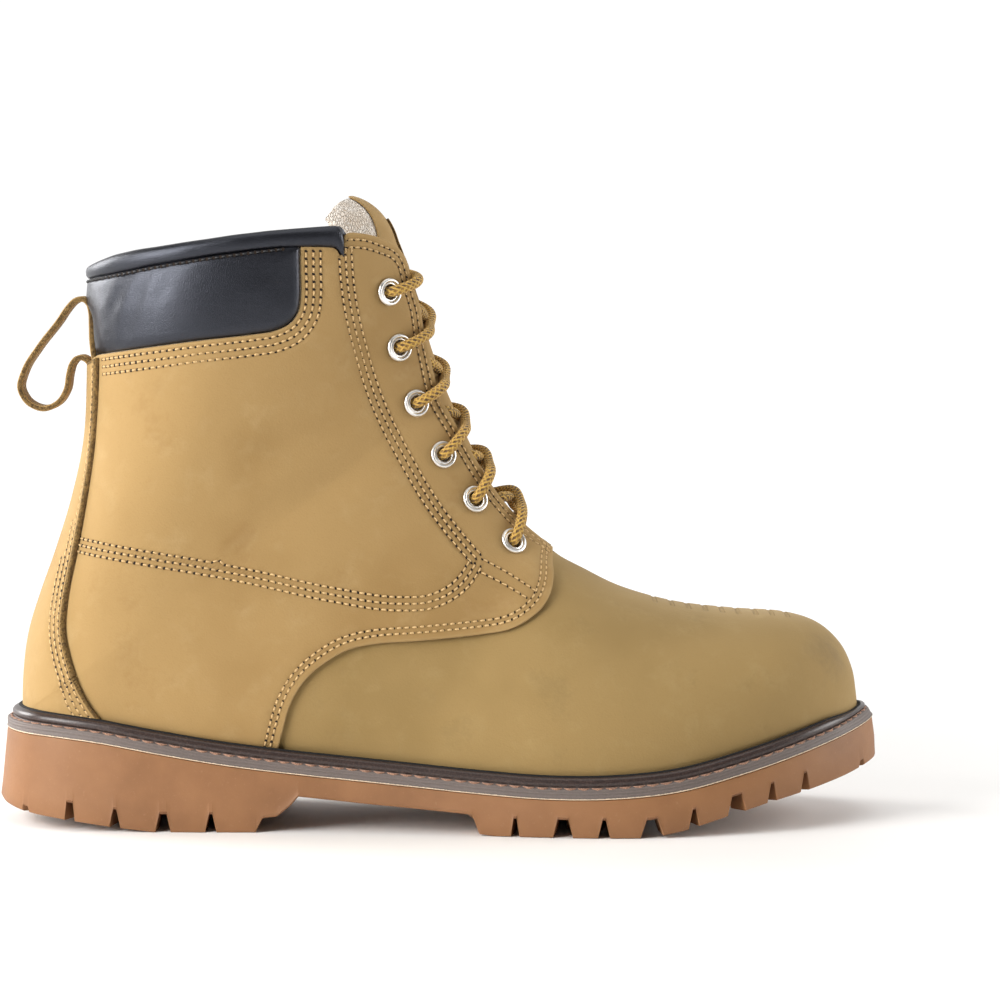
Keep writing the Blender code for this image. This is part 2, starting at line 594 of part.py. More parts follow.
def half_grid(side, offset):
    """One half of the upper's net of points, up to the binding seam."""
    u = np.array(UPPER_ROWS)[:, None] + np.zeros((1, len(UPPER_COLUMNS)))
    shares = np.array(UPPER_COLUMNS)[None, :]
    limit = line(TOP_EDGE[side], throat_share(u, side) * shares)
    u = np.where(u > HEEL, HEEL + (u - HEEL) * (limit - HEEL) / (COLLAR - HEEL), u)
    return form(u, throat_share(u, side) * shares, side, offset)


def build_shell(name, inner, outer, sides=(LATERAL, MEDIAL)):
    """Closed shell between two offsets of the upper's form, on one side or both."""
    nets = []
    for offset in (outer, inner):
        halves = [half_grid(side, offset) for side in sides]
        nets.append(halves[0] if len(sides) == 1 else np.concatenate([halves[0], halves[1][:, ::-1]], axis=1))
    mask = np.ones((nets[0].shape[0] - 1, nets[0].shape[1] - 1), bool)
    if len(sides) == 2:
        mask[:, len(UPPER_COLUMNS) - 1] = False
    return sheet(name, nets[0], nets[1], mask)


FAR_Y = 90.0


def prism(corners, side, near=2.0):
    """Block with this outline from the side, reaching out from near the middle plane."""
    count = len(corners)
    points = [(x, -side * near, z) for x, z in corners] + [(x, side * FAR_Y, z) for x, z in corners]
    faces = [list(range(count)), list(range(count, 2 * count))]
    faces += [[k, (k + 1) % count, (k + 1) % count + count, k + count] for k in range(count)]
    return solid("helper", points, faces)


def panel(name, side, inner, outer, corners, near=2.0):
    """Overlay: the part of a shell that shows inside an outline seen from the side."""
    return combine(build_shell(name, inner, outer, (side,)), prism(corners, side, near), "INTERSECT")


def curve(table, count):
    """More points along a seam, smooth through its own."""
    corner = np.array(table, float)
    run = np.concatenate([[0.0], np.cumsum(np.hypot(*np.diff(corner, axis=0).T))])
    rows = [(r, x, z) for r, (x, z) in zip(run, corner)]
    at = np.linspace(0.0, run[-1], count)
    return list(zip(smooth(rows, 1, at), smooth(rows, 2, at)))


def shifted(points, dx, dz):
    return [(x + dx, z + dz) for x, z in points]


def pad_outline(side, margin):
    """Outline of the collar panel from the side, made smaller by a margin."""
    end = PAD_END[side]
    foot = [p for p in PAD_FOOT if p[0] < end - 9.0]
    corner_z = float(line(PAD_FOOT, end - 4.0))
    corner = [(end - 8.0, corner_z), (end - 2.6, corner_z + 2.4), (end, corner_z + 8.0)]
    top = [p for p in SEAM_BINDING if p[0] < end - 4.0]
    top_z = float(line(SEAM_BINDING, end))
    lower = shifted(foot + corner, 0.0, margin)
    lower[-1] = (end - margin, corner_z + 8.0)
    upper = shifted([(end, top_z)] + top[::-1], 0.0, -margin)
    upper[0] = (end - margin, top_z - margin)
    back = -25.0
    return [(back, PAD_FOOT[0][1] - 4.0 + margin)] + lower + upper + [(back, SEAM_BINDING[0][1] - margin)]


def bead_line(first, last, count):
    """Line just above the bead, where overlays end, from the side."""
    return [(x, float(gum_top(x)) + BEAD_TALL + SEAM_CLEAR) for x in np.linspace(first, last, count)]


def quarter_outline(side):
    front = [p for p in curve(QUARTER_FRONT, 16) if p[1] > gum_top(p[0]) + BEAD_TALL + 3.0]
    pad = pad_outline(side, 0.0)
    edge = pad[1:1 + len([p for p in PAD_FOOT if p[0] < PAD_END[side] - 9.0]) + 3]
    above = [(PAD_END[side], 240.0)]
    ahead = [(230.0, 240.0), (230.0, 104.0), (204.0, 96.0)]
    foot = bead_line(-25.0, QUARTER_FRONT[0][0] + 0.8, 12)
    return foot + front + ahead[::-1] + above + edge[::-1] + [pad[0]]


def build_quarter(side):
    return panel("quarter_" + SIDE_NAME[side], side, QUARTER_IN, QUARTER_OUT, quarter_outline(side))


def build_backstay():
    """Backstay with the counter's flare, on both sides of the back seam."""
    edge = [p for p in curve(BACKSTAY_FRONT, 14) if p[1] > gum_top(p[0]) + BEAD_TALL + 2.0]
    outline = edge + bead_line(37.0, -30.0, 6) + [(-30.0, edge[0][1] - 2.0)]
    shell = build_shell("backstay", BACKSTAY_IN, BACKSTAY_OUT)
    count = len(outline)
    points = [(x, -FAR_Y, z) for x, z in outline] + [(x, FAR_Y, z) for x, z in outline]
    faces = [list(range(count)), list(range(count, 2 * count))]
    faces += [[k, (k + 1) % count, (k + 1) % count + count, k + count] for k in range(count)]
    return combine(shell, solid("helper", points, faces), "INTERSECT")


PAD_OUT = 2.6


def build_collar_pad():
    """Padded panel round the back of the collar, longer on the outer side."""
    lateral = pad_outline(LATERAL, SEAM_CLEAR)
    medial = pad_outline(MEDIAL, SEAM_CLEAR)
    shell = build_shell("collar_pad", QUARTER_IN, PAD_OUT)
    both = combine(prism(lateral, LATERAL, 0.5), prism(medial, MEDIAL, 0.5), "UNION")
    return combine(shell, both, "INTERSECT")


# Binding: a rolled strip on the rim, by place up the strip and offset from the upper's form
BINDING_SECTION = [(0.0, 1.9), (0.35, 2.6), (0.75, 2.0), (1.0, 0.2), (1.0, -1.6), (0.7, -2.9), (0.0, -3.0)]
BINDING_COLUMNS = 13


def build_binding():
    columns = []
    for side in (LATERAL, MEDIAL):
        v_line = np.linspace(0.05, 0.95, 200)
        x_line = form(COLLAR - 0.3, v_line, side)[:, 0]
        last = float(np.interp(BINDING_END[side], x_line, v_line))
        half = []
        for v in np.linspace(0.0, last, BINDING_COLUMNS):
            ring = []
            for rise, offset in BINDING_SECTION:
                low = form(float(line(TOP_EDGE[side], v)), v, side, offset) + np.array([0.0, 0.0, 0.9])
                high = form(COLLAR, v, side, offset) + np.array([0.0, 0.0, 0.8])
                ring.append(low + (high - low) * rise)
            half.append(ring)
        columns.append(half)
    chain = columns[0][::-1] + columns[1][1:]
    size = len(BINDING_SECTION)
    points = [p for ring in chain for p in ring]
    faces = []
    for k in range(len(chain) - 1):
        for j in range(size):
            n = (j + 1) % size
            faces.append([k * size + j, k * size + n, (k + 1) * size + n, (k + 1) * size + j])
    faces.append(list(range(size)))
    faces.append([(len(chain) - 1) * size + j for j in range(size)])
    return solid("collar_binding", points, faces)


# Tongue: half width by station, and how far it lies inside the upper
TONGUE_HALF = [(9.2, 9.0), (10.0, 14.0), (11.0, 19.0), (14.0, 23.0), (20.0, 25.0), (27.0, 26.0), (28.0, 24.0)]
TONGUE_OUT = -(WALL + 2.2)
TONGUE_IN = TONGUE_OUT - 4.5
TONGUE_ROWS = [9.2, 10.0, 11.0, 12.5, 14.5, 17.0, 19.5, 22.0, 24.5, 26.0, 27.0, 27.6, 28.0]
TONGUE_COLUMNS = [-1.0, -0.67, -0.34, 0.0, 0.34, 0.67, 1.0]


def build_tongue():
    nets = []
    for offset in (TONGUE_OUT, TONGUE_IN):
        net = []
        for u in TONGUE_ROWS:
            row = []
            for c in TONGUE_COLUMNS:
                side = LATERAL if c < 0 else MEDIAL
                lowered = u - 0.45 * c * c * max(0.0, u - 26.0) / 2.0
                v = float(top_share(lowered, side, abs(c) * line(TONGUE_HALF, u)))
                row.append(form(lowered, v, side, offset))
            net.append(row)
        nets.append(np.array(net))
    return sheet("tongue", nets[0], nets[1])


# Eyelets sit on the quarter's outer face, found along the form's own normal
EYELET_RIM = 5.0
EYELET_TOP = 1.1
EYELET_PROFILE = [(2.6, 0.95), (4.5, EYELET_TOP), (EYELET_RIM, GAP), (3.15, GAP), (3.15, -2.8), (2.6, -2.8)]
EYELET_HOLE = 3.6
LOOK_FROM = 15.0
EYELET_SEGMENTS = 8
HOLE_SEGMENTS = 8


def surface_at(obj, x, z, side):
    """Resting point and axis of an eyelet on the object's outer face, in millimetres, seen from the side."""
    u, v = place(x, z, side, QUARTER_OUT)
    start = form(u, v, side, QUARTER_OUT)
    axis = facing(u, v, side, QUARTER_OUT)
    across = np.cross(axis, (0.0, 0.0, 1.0))
    across /= np.linalg.norm(across)
    other = np.cross(axis, across)
    highest = -LOOK_FROM
    for radius in (0.0, EYELET_HOLE, EYELET_RIM):
        for k in range(8):
            angle = k * math.pi / 4
            spot = start + (across * math.cos(angle) + other * math.sin(angle)) * radius
            hit, where, _, _ = obj.ray_cast(Vector(to_frame(spot + axis * LOOK_FROM)[0]), Vector(-axis))
            point = np.array(where) / MM + np.array([CENTRE_X, CENTRE_Y, 0.0])
            highest = max(highest, float((point - start) @ axis)) if hit else highest
    return start + axis * highest, axis


def build_eyelets(upper, quarter, side):
    """Six turned eyelets, with their holes through quarter and upper."""
    spots = [surface_at(quarter, x, z, side) for x, z in EYELETS]
    for target in (quarter, upper):
        points = []
        faces = []
        for where, normal in spots:
            rod, ends = tube([where - normal * 7.0, where + normal * 4.0], EYELET_HOLE, HOLE_SEGMENTS)
            faces += [[i + len(points) for i in face] for face in ends]
            points += rod
        combine(target, solid("helper", points, faces), "DIFFERENCE")
    for number, (where, normal) in enumerate(spots, start=1):
        ring, faces = turned(EYELET_PROFILE, EYELET_SEGMENTS, where, normal)
        solid("eyelet_%s_%d" % (SIDE_NAME[side], number), ring, faces)
    return spots


# Lace: each crossing is two rods joined where one lies on the other
LACE_RADIUS = 2.1
LACE_ABOVE = EYELET_TOP + 0.6 + LACE_RADIUS
LACE_CLEAR = 10.5
CROSSING_LIFT = 1.2
CROSSING_FORWARD = 13.0
LACE_REACH = 0.34


def lace_middle(spots, level):
    """Point in front of the throat between eyelets, with the way forward."""
    forward = sum(np.asarray(normal) for _, normal in spots)
    forward[1] = 0.0
    forward /= np.linalg.norm(forward)
    middle = sum(np.asarray(where) for where, _ in spots) / len(spots)
    reach = max((np.asarray(where) - middle) @ forward for where, _ in spots)
    return middle + forward * (reach + level), forward


def lace_start(spot, goal):
    """Two points over an eyelet: at its centre, and past its rim on the way to the goal."""
    where, normal = np.asarray(spot[0]), np.asarray(spot[1])
    way = goal - where
    way = way - normal * (way @ normal)
    way /= np.linalg.norm(way)
    return [where + normal * LACE_ABOVE, where + normal * LACE_ABOVE + way * LACE_CLEAR]


def lace_path(first, knot, last):
    """Way of one rod: over its eyelet, past the rim, over the tongue, and short of the far eyestay."""
    goal = np.asarray(last[0]) + np.asarray(last[1]) * LACE_ABOVE
    return lace_start(first, knot) + [knot, knot + (goal - knot) * LACE_REACH]


def build_lace(lateral, medial):
    for k in range(len(EYELETS) - 1):
        spots = [lateral[k], medial[k], lateral[k + 1], medial[k + 1]]
        middle, forward = lace_middle(spots, LACE_ABOVE + CROSSING_FORWARD)
        name = "lace_cross_%d" % (k + 1)
        over = lace_path(lateral[k + 1], middle + forward * CROSSING_LIFT, medial[k])
        under = lace_path(medial[k + 1], middle - forward * CROSSING_LIFT, lateral[k])
        combine(solid(name, *tube(over, LACE_RADIUS)), solid("helper", *tube(under, LACE_RADIUS)), "UNION")
    middle, _ = lace_middle([lateral[0], medial[0]], LACE_ABOVE + CROSSING_FORWARD)
    across = lace_start(lateral[0], middle) + [middle] + lace_start(medial[0], middle)[::-1]
    solid("lace_top", *tube(across, LACE_RADIUS))


# Pull loop: a strip whose middle line is given from the side
LOOP_LINE = [(28.9, 168.5), (28.9, 179.0), (26.6, 184.2), (21.4, 178.7), (14.2, 169.1), (9.1, 160.2), (7.6, 153.8),
             (10.4, 148.8), (16.1, 146.6), (21.3, 149.5), (23.8, 154.8), (24.4, 160.0), (26.0, 164.6)]
LOOP_THICK = 2.2
LOOP_HALF_WIDTH = 6.0


def build_loop():
    path = np.array(curve(LOOP_LINE, 19))
    turn = np.gradient(path, axis=0)
    turn /= np.linalg.norm(turn, axis=1, keepdims=True)
    normal = np.stack([-turn[:, 1], turn[:, 0]], axis=1)
    nets = []
    for lift in (LOOP_THICK / 2, -LOOP_THICK / 2):
        edge = path + normal * lift
        nets.append(np.array([[(x, -LOOP_HALF_WIDTH, z), (x, LOOP_HALF_WIDTH, z)] for x, z in edge]))
    return sheet("pull_loop", nets[0], nets[1])


# Zip on the inner side: slot in the quarter, tape behind it, teeth, slider, pull tab and flap
ZIP_HEAD = (102.0, 184.0)
ZIP_FOOT = (106.0, 117.5)
ZIP_HALF = 6.2
TEETH_HALF = 2.6
TAPE_OUT = GAP + 0.5
TEETH_IN = TAPE_OUT + GAP
TEETH_OUT = TEETH_IN + 0.9


def strip_outline(half, head, foot):
    """Corners of a straight strip along the zip, from the side."""
    a = np.array(ZIP_HEAD)
    b = np.array(ZIP_FOOT)
    along = (b - a) / np.linalg.norm(b - a)
    across = np.array([along[1], -along[0]])
    start = a + along * head
    stop = b - along * foot
    return [tuple(p) for p in (start + across * half, stop + across * half, stop - across * half, start - across * half)]


def build_zip(quarter):
    combine(quarter, prism(strip_outline(ZIP_HALF, 0.0, 0.0), MEDIAL, -8.0), "DIFFERENCE")
    panel("zip_tape", MEDIAL, GAP, TAPE_OUT, strip_outline(ZIP_HALF - SEAM_CLEAR, 0.5, 0.5), -8.0)
    panel("zip_teeth", MEDIAL, TEETH_IN, TEETH_OUT, strip_outline(TEETH_HALF, 1.0, 2.0), -8.0)


def box_on(frame, low, high):
    """Corners and faces of a box in a local frame of point, right, up and out."""
    where, right, up, out = frame
    points = []
    for a in (low[0], high[0]):
        for b in (low[1], high[1]):
            for c in (low[2], high[2]):
                points.append(where + right * a + up * b + out * c)
    faces = [[0, 1, 3, 2], [4, 5, 7, 6], [0, 1, 5, 4], [2, 3, 7, 6], [0, 2, 6, 4], [1, 3, 7, 5]]
    return points, faces


SLIDER_AT = (102.6, 175.5)
SLIDER_HALF_WIDTH = 4.6
SLIDER_HALF_HEIGHT = 5.2
SLIDER_LOW = TEETH_OUT + GAP
SLIDER_THICK = 2.6
HINGE_UP = 2.4
HINGE_OUT = SLIDER_LOW + SLIDER_THICK + 2.3
PIN_RADIUS = 0.8
PIN_CLEAR = 0.1
PULL_THICK = 1.5
PULL_LENGTH = 25.0


def zip_frame():
    """Point on the upper's form under the slider, with right, up and out."""
    u, v = place(SLIDER_AT[0], SLIDER_AT[1], MEDIAL)
    where = form(u, v, MEDIAL)
    out = facing(u, v, MEDIAL)
    down = np.array([ZIP_FOOT[0] - ZIP_HEAD[0], 0.0, ZIP_FOOT[1] - ZIP_HEAD[1]])
    up = -(down - out * (down @ out))
    up /= np.linalg.norm(up)
    return where, np.cross(up, out), up, out


def build_slider(frame):
    """Slider body with two lugs and a pin for the pull tab."""
    where, right, up, out = frame
    top = SLIDER_LOW + SLIDER_THICK
    body = solid("zip_slider", *box_on(frame, (-SLIDER_HALF_WIDTH, -SLIDER_HALF_HEIGHT, SLIDER_LOW),
                                       (SLIDER_HALF_WIDTH, SLIDER_HALF_HEIGHT, top)))
    for a in (-3.6, 2.2):
        lug = box_on(frame, (a, HINGE_UP - 1.6, top - 0.6), (a + 1.4, HINGE_UP + 1.6, HINGE_OUT + 1.4))
        combine(body, solid("helper", *lug), "UNION")
    middle = where + up * HINGE_UP + out * HINGE_OUT
    combine(body, solid("helper", *tube([middle - right * 3.0, middle + right * 3.0], PIN_RADIUS, 8)), "UNION")
    return middle


# Pull tab outline: place down from the pin and half width
PULL_SHAPE = [(-1.6, 1.3), (-1.0, 1.9), (2.2, 1.9), (3.4, 2.9), (13.5, 2.9), (15.0, 4.3), (17.5, 5.0), (22.5, 5.0),
              (24.4, 4.2), (25.0, 2.6)]


def build_pull(frame, middle):
    _, right, up, out = frame
    outline = [(w, -d) for d, w in PULL_SHAPE] + [(-w, -d) for d, w in PULL_SHAPE[::-1]]
    count = len(outline)
    points = []
    for c in (-PULL_THICK / 2 - 0.75, PULL_THICK / 2 + 0.75):
        points += [middle + right * a + up * b + out * c for a, b in outline]
    faces = [list(range(count)), list(range(count, 2 * count))]
    faces += [[k, (k + 1) % count, (k + 1) % count + count, k + count] for k in range(count)]
    plate = solid("zip_pull", points, faces)
    thin = box_on((middle, right, up, out), (-9.0, -30.0, PULL_THICK / 2), (9.0, -3.0, 6.0))
    combine(plate, solid("helper", *thin), "DIFFERENCE")
    thin = box_on((middle, right, up, out), (-9.0, -30.0, -6.0), (9.0, -3.0, -PULL_THICK / 2))
    combine(plate, solid("helper", *thin), "DIFFERENCE")
    eye = middle - up * 20.0
    combine(plate, solid("helper", *tube([eye - out * 4.0, eye + out * 4.0], 2.4, 10)), "DIFFERENCE")
    bore = tube([middle - right * 6.0, middle + right * 6.0], PIN_RADIUS + PIN_CLEAR, 8)
    combine(plate, solid("helper", *bore), "DIFFERENCE")


FLAP_OUTLINE = [(89.0, 208.5), (89.0, 190.0), (100.0, 186.5), (111.5, 180.0), (116.5, 196.0), (121.5, 209.5)]
PATCH_OUTLINE = [(82.0, 204.0), (82.0, 195.0), (84.0, 189.0), (88.0, 186.0), (96.0, 186.0), (96.0, 204.0)]
FLAP_ROWS = [20.0, 21.5, 23.0, 24.5, 25.8, 27.0, 28.0]
FLAP_IN = QUARTER_OUT + 1.4
FLAP_OUT = FLAP_IN + LEATHER


def build_flap():
    nets = []
    for offset in (FLAP_OUT, FLAP_IN):
        u = np.array(FLAP_ROWS)[:, None] + np.zeros((1, len(UPPER_COLUMNS)))
        nets.append(form(u, throat_share(u, MEDIAL) * np.array(UPPER_COLUMNS)[None, :], MEDIAL, offset))
    combine(sheet("zip_flap", nets[0], nets[1]), prism(FLAP_OUTLINE, MEDIAL, -8.0), "INTERSECT")
    panel("flap_patch", MEDIAL, QUARTER_OUT + GAP, QUARTER_OUT + GAP + 0.7, PATCH_OUTLINE, -8.0)


build_outsole()
build_welt()
build_insole()
upper = build_shell("upper", -WALL, 0.0)
quarters = {side: build_quarter(side) for side in (LATERAL, MEDIAL)}
build_backstay()
build_collar_pad()
build_binding()
build_tongue()
eyelets = {side: build_eyelets(upper, quarters[side], side) for side in (LATERAL, MEDIAL)}
build_lace(eyelets[LATERAL], eyelets[MEDIAL])
build_loop()
build_zip(quarters[MEDIAL])
slider_frame = zip_frame()
hinge = build_slider(slider_frame)
build_pull(slider_frame, hinge)
build_flap()
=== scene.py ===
# %% [markdown]
# # A lace-up motorcycle boot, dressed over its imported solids
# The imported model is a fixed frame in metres, and the plain solids in it are replaced piece by piece. The
# boot is a right one, lying along X with the toe at +X, the outer side at -Y and the floor at Z = 0.
# Lengths in the tables are millimetres along the foot, across it and up, and are moved into the frame at
# the end.

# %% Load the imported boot
import json
import math

import bmesh
import bpy
import numpy as np
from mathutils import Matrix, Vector, noise
from mathutils.geometry import delaunay_2d_cdt
from mathutils.kdtree import KDTree


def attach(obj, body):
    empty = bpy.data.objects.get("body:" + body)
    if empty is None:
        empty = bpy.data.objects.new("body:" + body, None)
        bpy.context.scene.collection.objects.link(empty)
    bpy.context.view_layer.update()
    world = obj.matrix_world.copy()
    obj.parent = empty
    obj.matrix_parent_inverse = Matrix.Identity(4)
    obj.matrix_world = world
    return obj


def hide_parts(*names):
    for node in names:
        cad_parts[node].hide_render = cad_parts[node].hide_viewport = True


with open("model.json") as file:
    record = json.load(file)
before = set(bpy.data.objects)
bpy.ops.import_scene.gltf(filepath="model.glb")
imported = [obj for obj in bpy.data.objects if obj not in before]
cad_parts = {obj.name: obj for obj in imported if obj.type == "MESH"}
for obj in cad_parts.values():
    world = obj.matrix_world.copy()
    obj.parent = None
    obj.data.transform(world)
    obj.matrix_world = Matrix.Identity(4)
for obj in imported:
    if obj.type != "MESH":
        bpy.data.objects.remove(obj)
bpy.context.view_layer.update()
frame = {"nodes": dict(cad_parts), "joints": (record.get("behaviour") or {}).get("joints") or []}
scene = bpy.context.scene
print("solids in the frame:", len(frame["nodes"]))

# %% [markdown]
# ## Camera
# The photograph is taken from the outer side, from about the collar's height, with a long lens. A lens of
# 121 mm on a 36 mm sensor at 1.2 m gives the same near-parallel lines.

# %% Make the camera
LENS_MM = 120.96
SENSOR_MM = 36.0
CAMERA_AT = Vector((-0.0005, -1.19925, 0.2))
CAMERA_LOOKS_AT = Vector((0.0215, 0.00075, 0.1135))


def hang(name, data, spot, goal):
    """Put a camera or a lamp at a spot and turn it to a goal."""
    held = bpy.data.objects.new(name, data)
    held.location = spot
    held.rotation_mode = "QUATERNION"
    held.rotation_quaternion = (Vector(goal) - Vector(spot)).to_track_quat("-Z", "Y")
    scene.collection.objects.link(held)
    return held


camera_data = bpy.data.cameras.new("photo_camera")
camera_data.lens = LENS_MM
camera_data.sensor_width = SENSOR_MM
scene.camera = hang("photo_camera", camera_data, CAMERA_AT, CAMERA_LOOKS_AT)
print("camera distance:", round((CAMERA_LOOKS_AT - CAMERA_AT).length, 3), "m")

# %% [markdown]
# ## Shader arithmetic
# A finish is a small network of nodes. Written out node by node it is hard to read, so one class wraps a
# socket and adds a Math node for each operator. Colours and vectors have methods of their own, because a
# Math node turns a colour grey.

# %% Wrap sockets
def rgb(red, green, blue):
    """Screen colour from 0 to 255 as the linear colour that a shader takes."""
    shares = [c / 255.0 for c in (red, green, blue)]
    return tuple(c / 12.92 if c <= 0.04045 else ((c + 0.055) / 1.055) ** 2.4 for c in shares) + (1.0,)


class Wire:
    """An output socket of a finish, with arithmetic."""

    def __init__(self, finish, socket):
        self.finish = finish
        self.socket = socket

    def math(self, operation, first, second):
        return self.finish.node("ShaderNodeMath", {"operation": operation}, {0: first, 1: second})

    def __add__(self, other):
        return self.math("ADD", self, other)

    __radd__ = __add__

    def __mul__(self, other):
        return self.math("MULTIPLY", self, other)

    __rmul__ = __mul__

    def __sub__(self, other):
        return self.math("SUBTRACT", self, other)

    def __rsub__(self, other):
        return self.math("SUBTRACT", other, self)

    def most(self, other):
        return self.math("MAXIMUM", self, other)

    def sine(self):
        return self.math("SINE", self, 0.0)

    def step(self, low, high):
        """0 below low, 1 above high, smooth between; low may be the larger one."""
        turned = low > high
        inputs = {0: self, 1: min(low, high), 2: max(low, high), 3: float(turned), 4: float(not turned)}
        return self.finish.node("ShaderNodeMapRange", {"interpolation_type": "SMOOTHSTEP"}, inputs)


print("a socket's operators: + - *, most, sine, step")

# %% Wrap materials
class Finish:
    """One material made from nodes."""

    def __init__(self, name):
        self.material = bpy.data.materials.new(name)
        self.material.use_nodes = True
        self.tree = self.material.node_tree
        self.shader = self.tree.nodes["Principled BSDF"]
        self.spot = self.node("ShaderNodeTexCoord", output="Object")

    def node(self, kind, settings=None, inputs=None, output=0):
        """Add a node: settings first, then the values or links of its sockets."""
        made = self.tree.nodes.new(kind)
        for key, value in (settings or {}).items():
            setattr(made, key, value)
        for key, value in (inputs or {}).items():
            self.feed(made.inputs[key], value)
        return Wire(self, made.outputs[output])

    def feed(self, socket, value):
        if isinstance(value, Wire):
            self.tree.links.new(value.socket, socket)
        else:
            socket.default_value = value

    def set(self, **sockets):
        """Feed the shader's sockets, such as Base_Color or Roughness."""
        for key, value in sockets.items():
            self.feed(self.shader.inputs[key.replace("_", " ")], value)
        return self

    def blend(self, low, high, share):
        """Colour between two colours."""
        return self.node("ShaderNodeMix", {"data_type": "RGBA"}, {0: share, 6: low, 7: high}, 2)

    def mottle(self, scale, detail=2.0, roughness=0.5, where=None):
        """Cloudy noise from about 0 to 1; scale is in clouds per metre."""
        inputs = {"Vector": where or self.spot, "Scale": scale, "Detail": detail, "Roughness": roughness}
        return self.node("ShaderNodeTexNoise", None, inputs)

    def cells(self, scale, feature="F1", where=None):
        inputs = {"Vector": where or self.spot, "Scale": scale}
        return self.node("ShaderNodeTexVoronoi", {"feature": feature}, inputs)

    def stretched(self, x, y, z):
        """The place on the object, drawn out along the axes."""
        return self.node("ShaderNodeVectorMath", {"operation": "MULTIPLY"}, {0: self.spot, 1: (x, y, z)})

    def told(self, name):
        """A number that the mesh carries at each point."""
        return self.node("ShaderNodeAttribute", {"attribute_name": name}, None, "Fac")

    def bump(self, height, depth_mm):
        """Fine relief under the light, as a height from 0 to 1 and its depth."""
        inputs = {"Height": height, "Distance": depth_mm * 0.001, "Strength": 1.0}
        return self.set(Normal=self.node("ShaderNodeBump", None, inputs))


print("shader helpers ready")

# %% [markdown]
# ## Floor and light
# The photograph is a bright studio shot: a white floor, a large soft light from the left, a strong one
# behind the heel and a weaker one from above. Far from the boot the floor and a wall glow, so that the
# background stays white.

# %% Lay the floor
FLOOR_HALF = 30.0
WALL_HALF = 7.0
FRONT_DIM = 0.5
BLACK = rgb(0, 0, 0)
WHITE = rgb(255, 255, 255)


def plate(name, corners, finish):
    mesh = bpy.data.meshes.new(name)
    mesh.from_pydata(corners, [], [(0, 1, 2, 3)])
    mesh.materials.append(finish.material)
    made = bpy.data.objects.new(name, mesh)
    scene.collection.objects.link(made)


paint = Finish("floor_paint")
near = paint.blend(rgb(243, 242, 241), rgb(246, 245, 244), paint.mottle(3.0).step(0.3, 0.7))
far = paint.node("ShaderNodeVectorMath", {"operation": "LENGTH"}, {0: paint.spot}, "Value").step(0.26, 0.75)
front = paint.node("ShaderNodeSeparateXYZ", None, {"Vector": paint.spot}, "Y").step(-0.5, -1.2)
glow = far * (1 - front * FRONT_DIM)
paint.set(Base_Color=paint.blend(near, BLACK, far), Roughness=0.6,
          Emission_Color=paint.blend(BLACK, WHITE, glow), Emission_Strength=1.0)
floor_corners = [(x * FLOOR_HALF, y * FLOOR_HALF, 0) for x, y in ((-1, -1), (1, -1), (1, 1), (-1, 1))]
plate("studio_floor", floor_corners, paint)

wall_glow = Finish("wall_glow").set(Base_Color=rgb(10, 10, 10), Emission_Color=WHITE, Emission_Strength=1.02)
wall_corners = [(x * WALL_HALF, WALL_HALF, z * WALL_HALF) for x, z in ((-1, 0), (1, 0), (1, 1), (-1, 1))]
plate("studio_wall", wall_corners, wall_glow)
print("floor and wall laid")

# %% Hang the lights
LIGHTS = [
    # name, place, looks at, size, watts, blue
    ("key_left", (-0.9, -0.6, 0.56), (-0.03, 0.0, 0.12), 0.8, 15.0, 0.97),
    ("low_left", (-1.05, -0.7, 0.2), (-0.08, 0.0, 0.15), 0.6, 6.4, 0.98),
    ("rim_heel", (-1.1, 0.55, 0.5), (-0.1, 0.0, 0.1), 0.7, 13.0, 0.98),
    ("top_soft", (0.1, -0.1, 1.5), (0.05, 0.0, 0.0), 1.5, 8.0, 0.97),
    ("fill_right", (1.1, 0.05, 0.4), (0.12, 0.0, 0.05), 0.8, 10.0, 0.97),
]
WORLD_STRENGTH = 0.14
for name, spot, goal, size, watts, blue in LIGHTS:
    lamp = bpy.data.lights.new(name, "AREA")
    lamp.shape = "DISK"
    lamp.size = size
    lamp.energy = watts
    lamp.color = (1.0, 0.99, blue)
    hang(name, lamp, spot, goal)

world = bpy.data.worlds.new("studio_air")
world.use_nodes = True
world.node_tree.nodes["Background"].inputs["Color"].default_value = WHITE
world.node_tree.nodes["Background"].inputs["Strength"].default_value = WORLD_STRENGTH
scene.world = world
scene.view_settings.view_transform = "Standard"
print("lights:", len(LIGHTS))

# %% [markdown]
# ## Leather finishes
# The upper is wheat-coloured nubuck: leather buffed on the grain side, so it is matt, slightly cloudy and
# has a very short nap. The clouds, the nap and the pores are noises of different size. Meshes carry the
# distances to the nearest cut edge and to the nearest stitch row, so that edges are rubbed pale and seams
# get a little painted shade; the walls of the vamp's pressed slots get painted shade too.

# %% Mix the nubuck
FAR_MM = 60.0
RAW_DARK = rgb(70, 51, 24)
RAW_LIGHT = rgb(132, 104, 58)


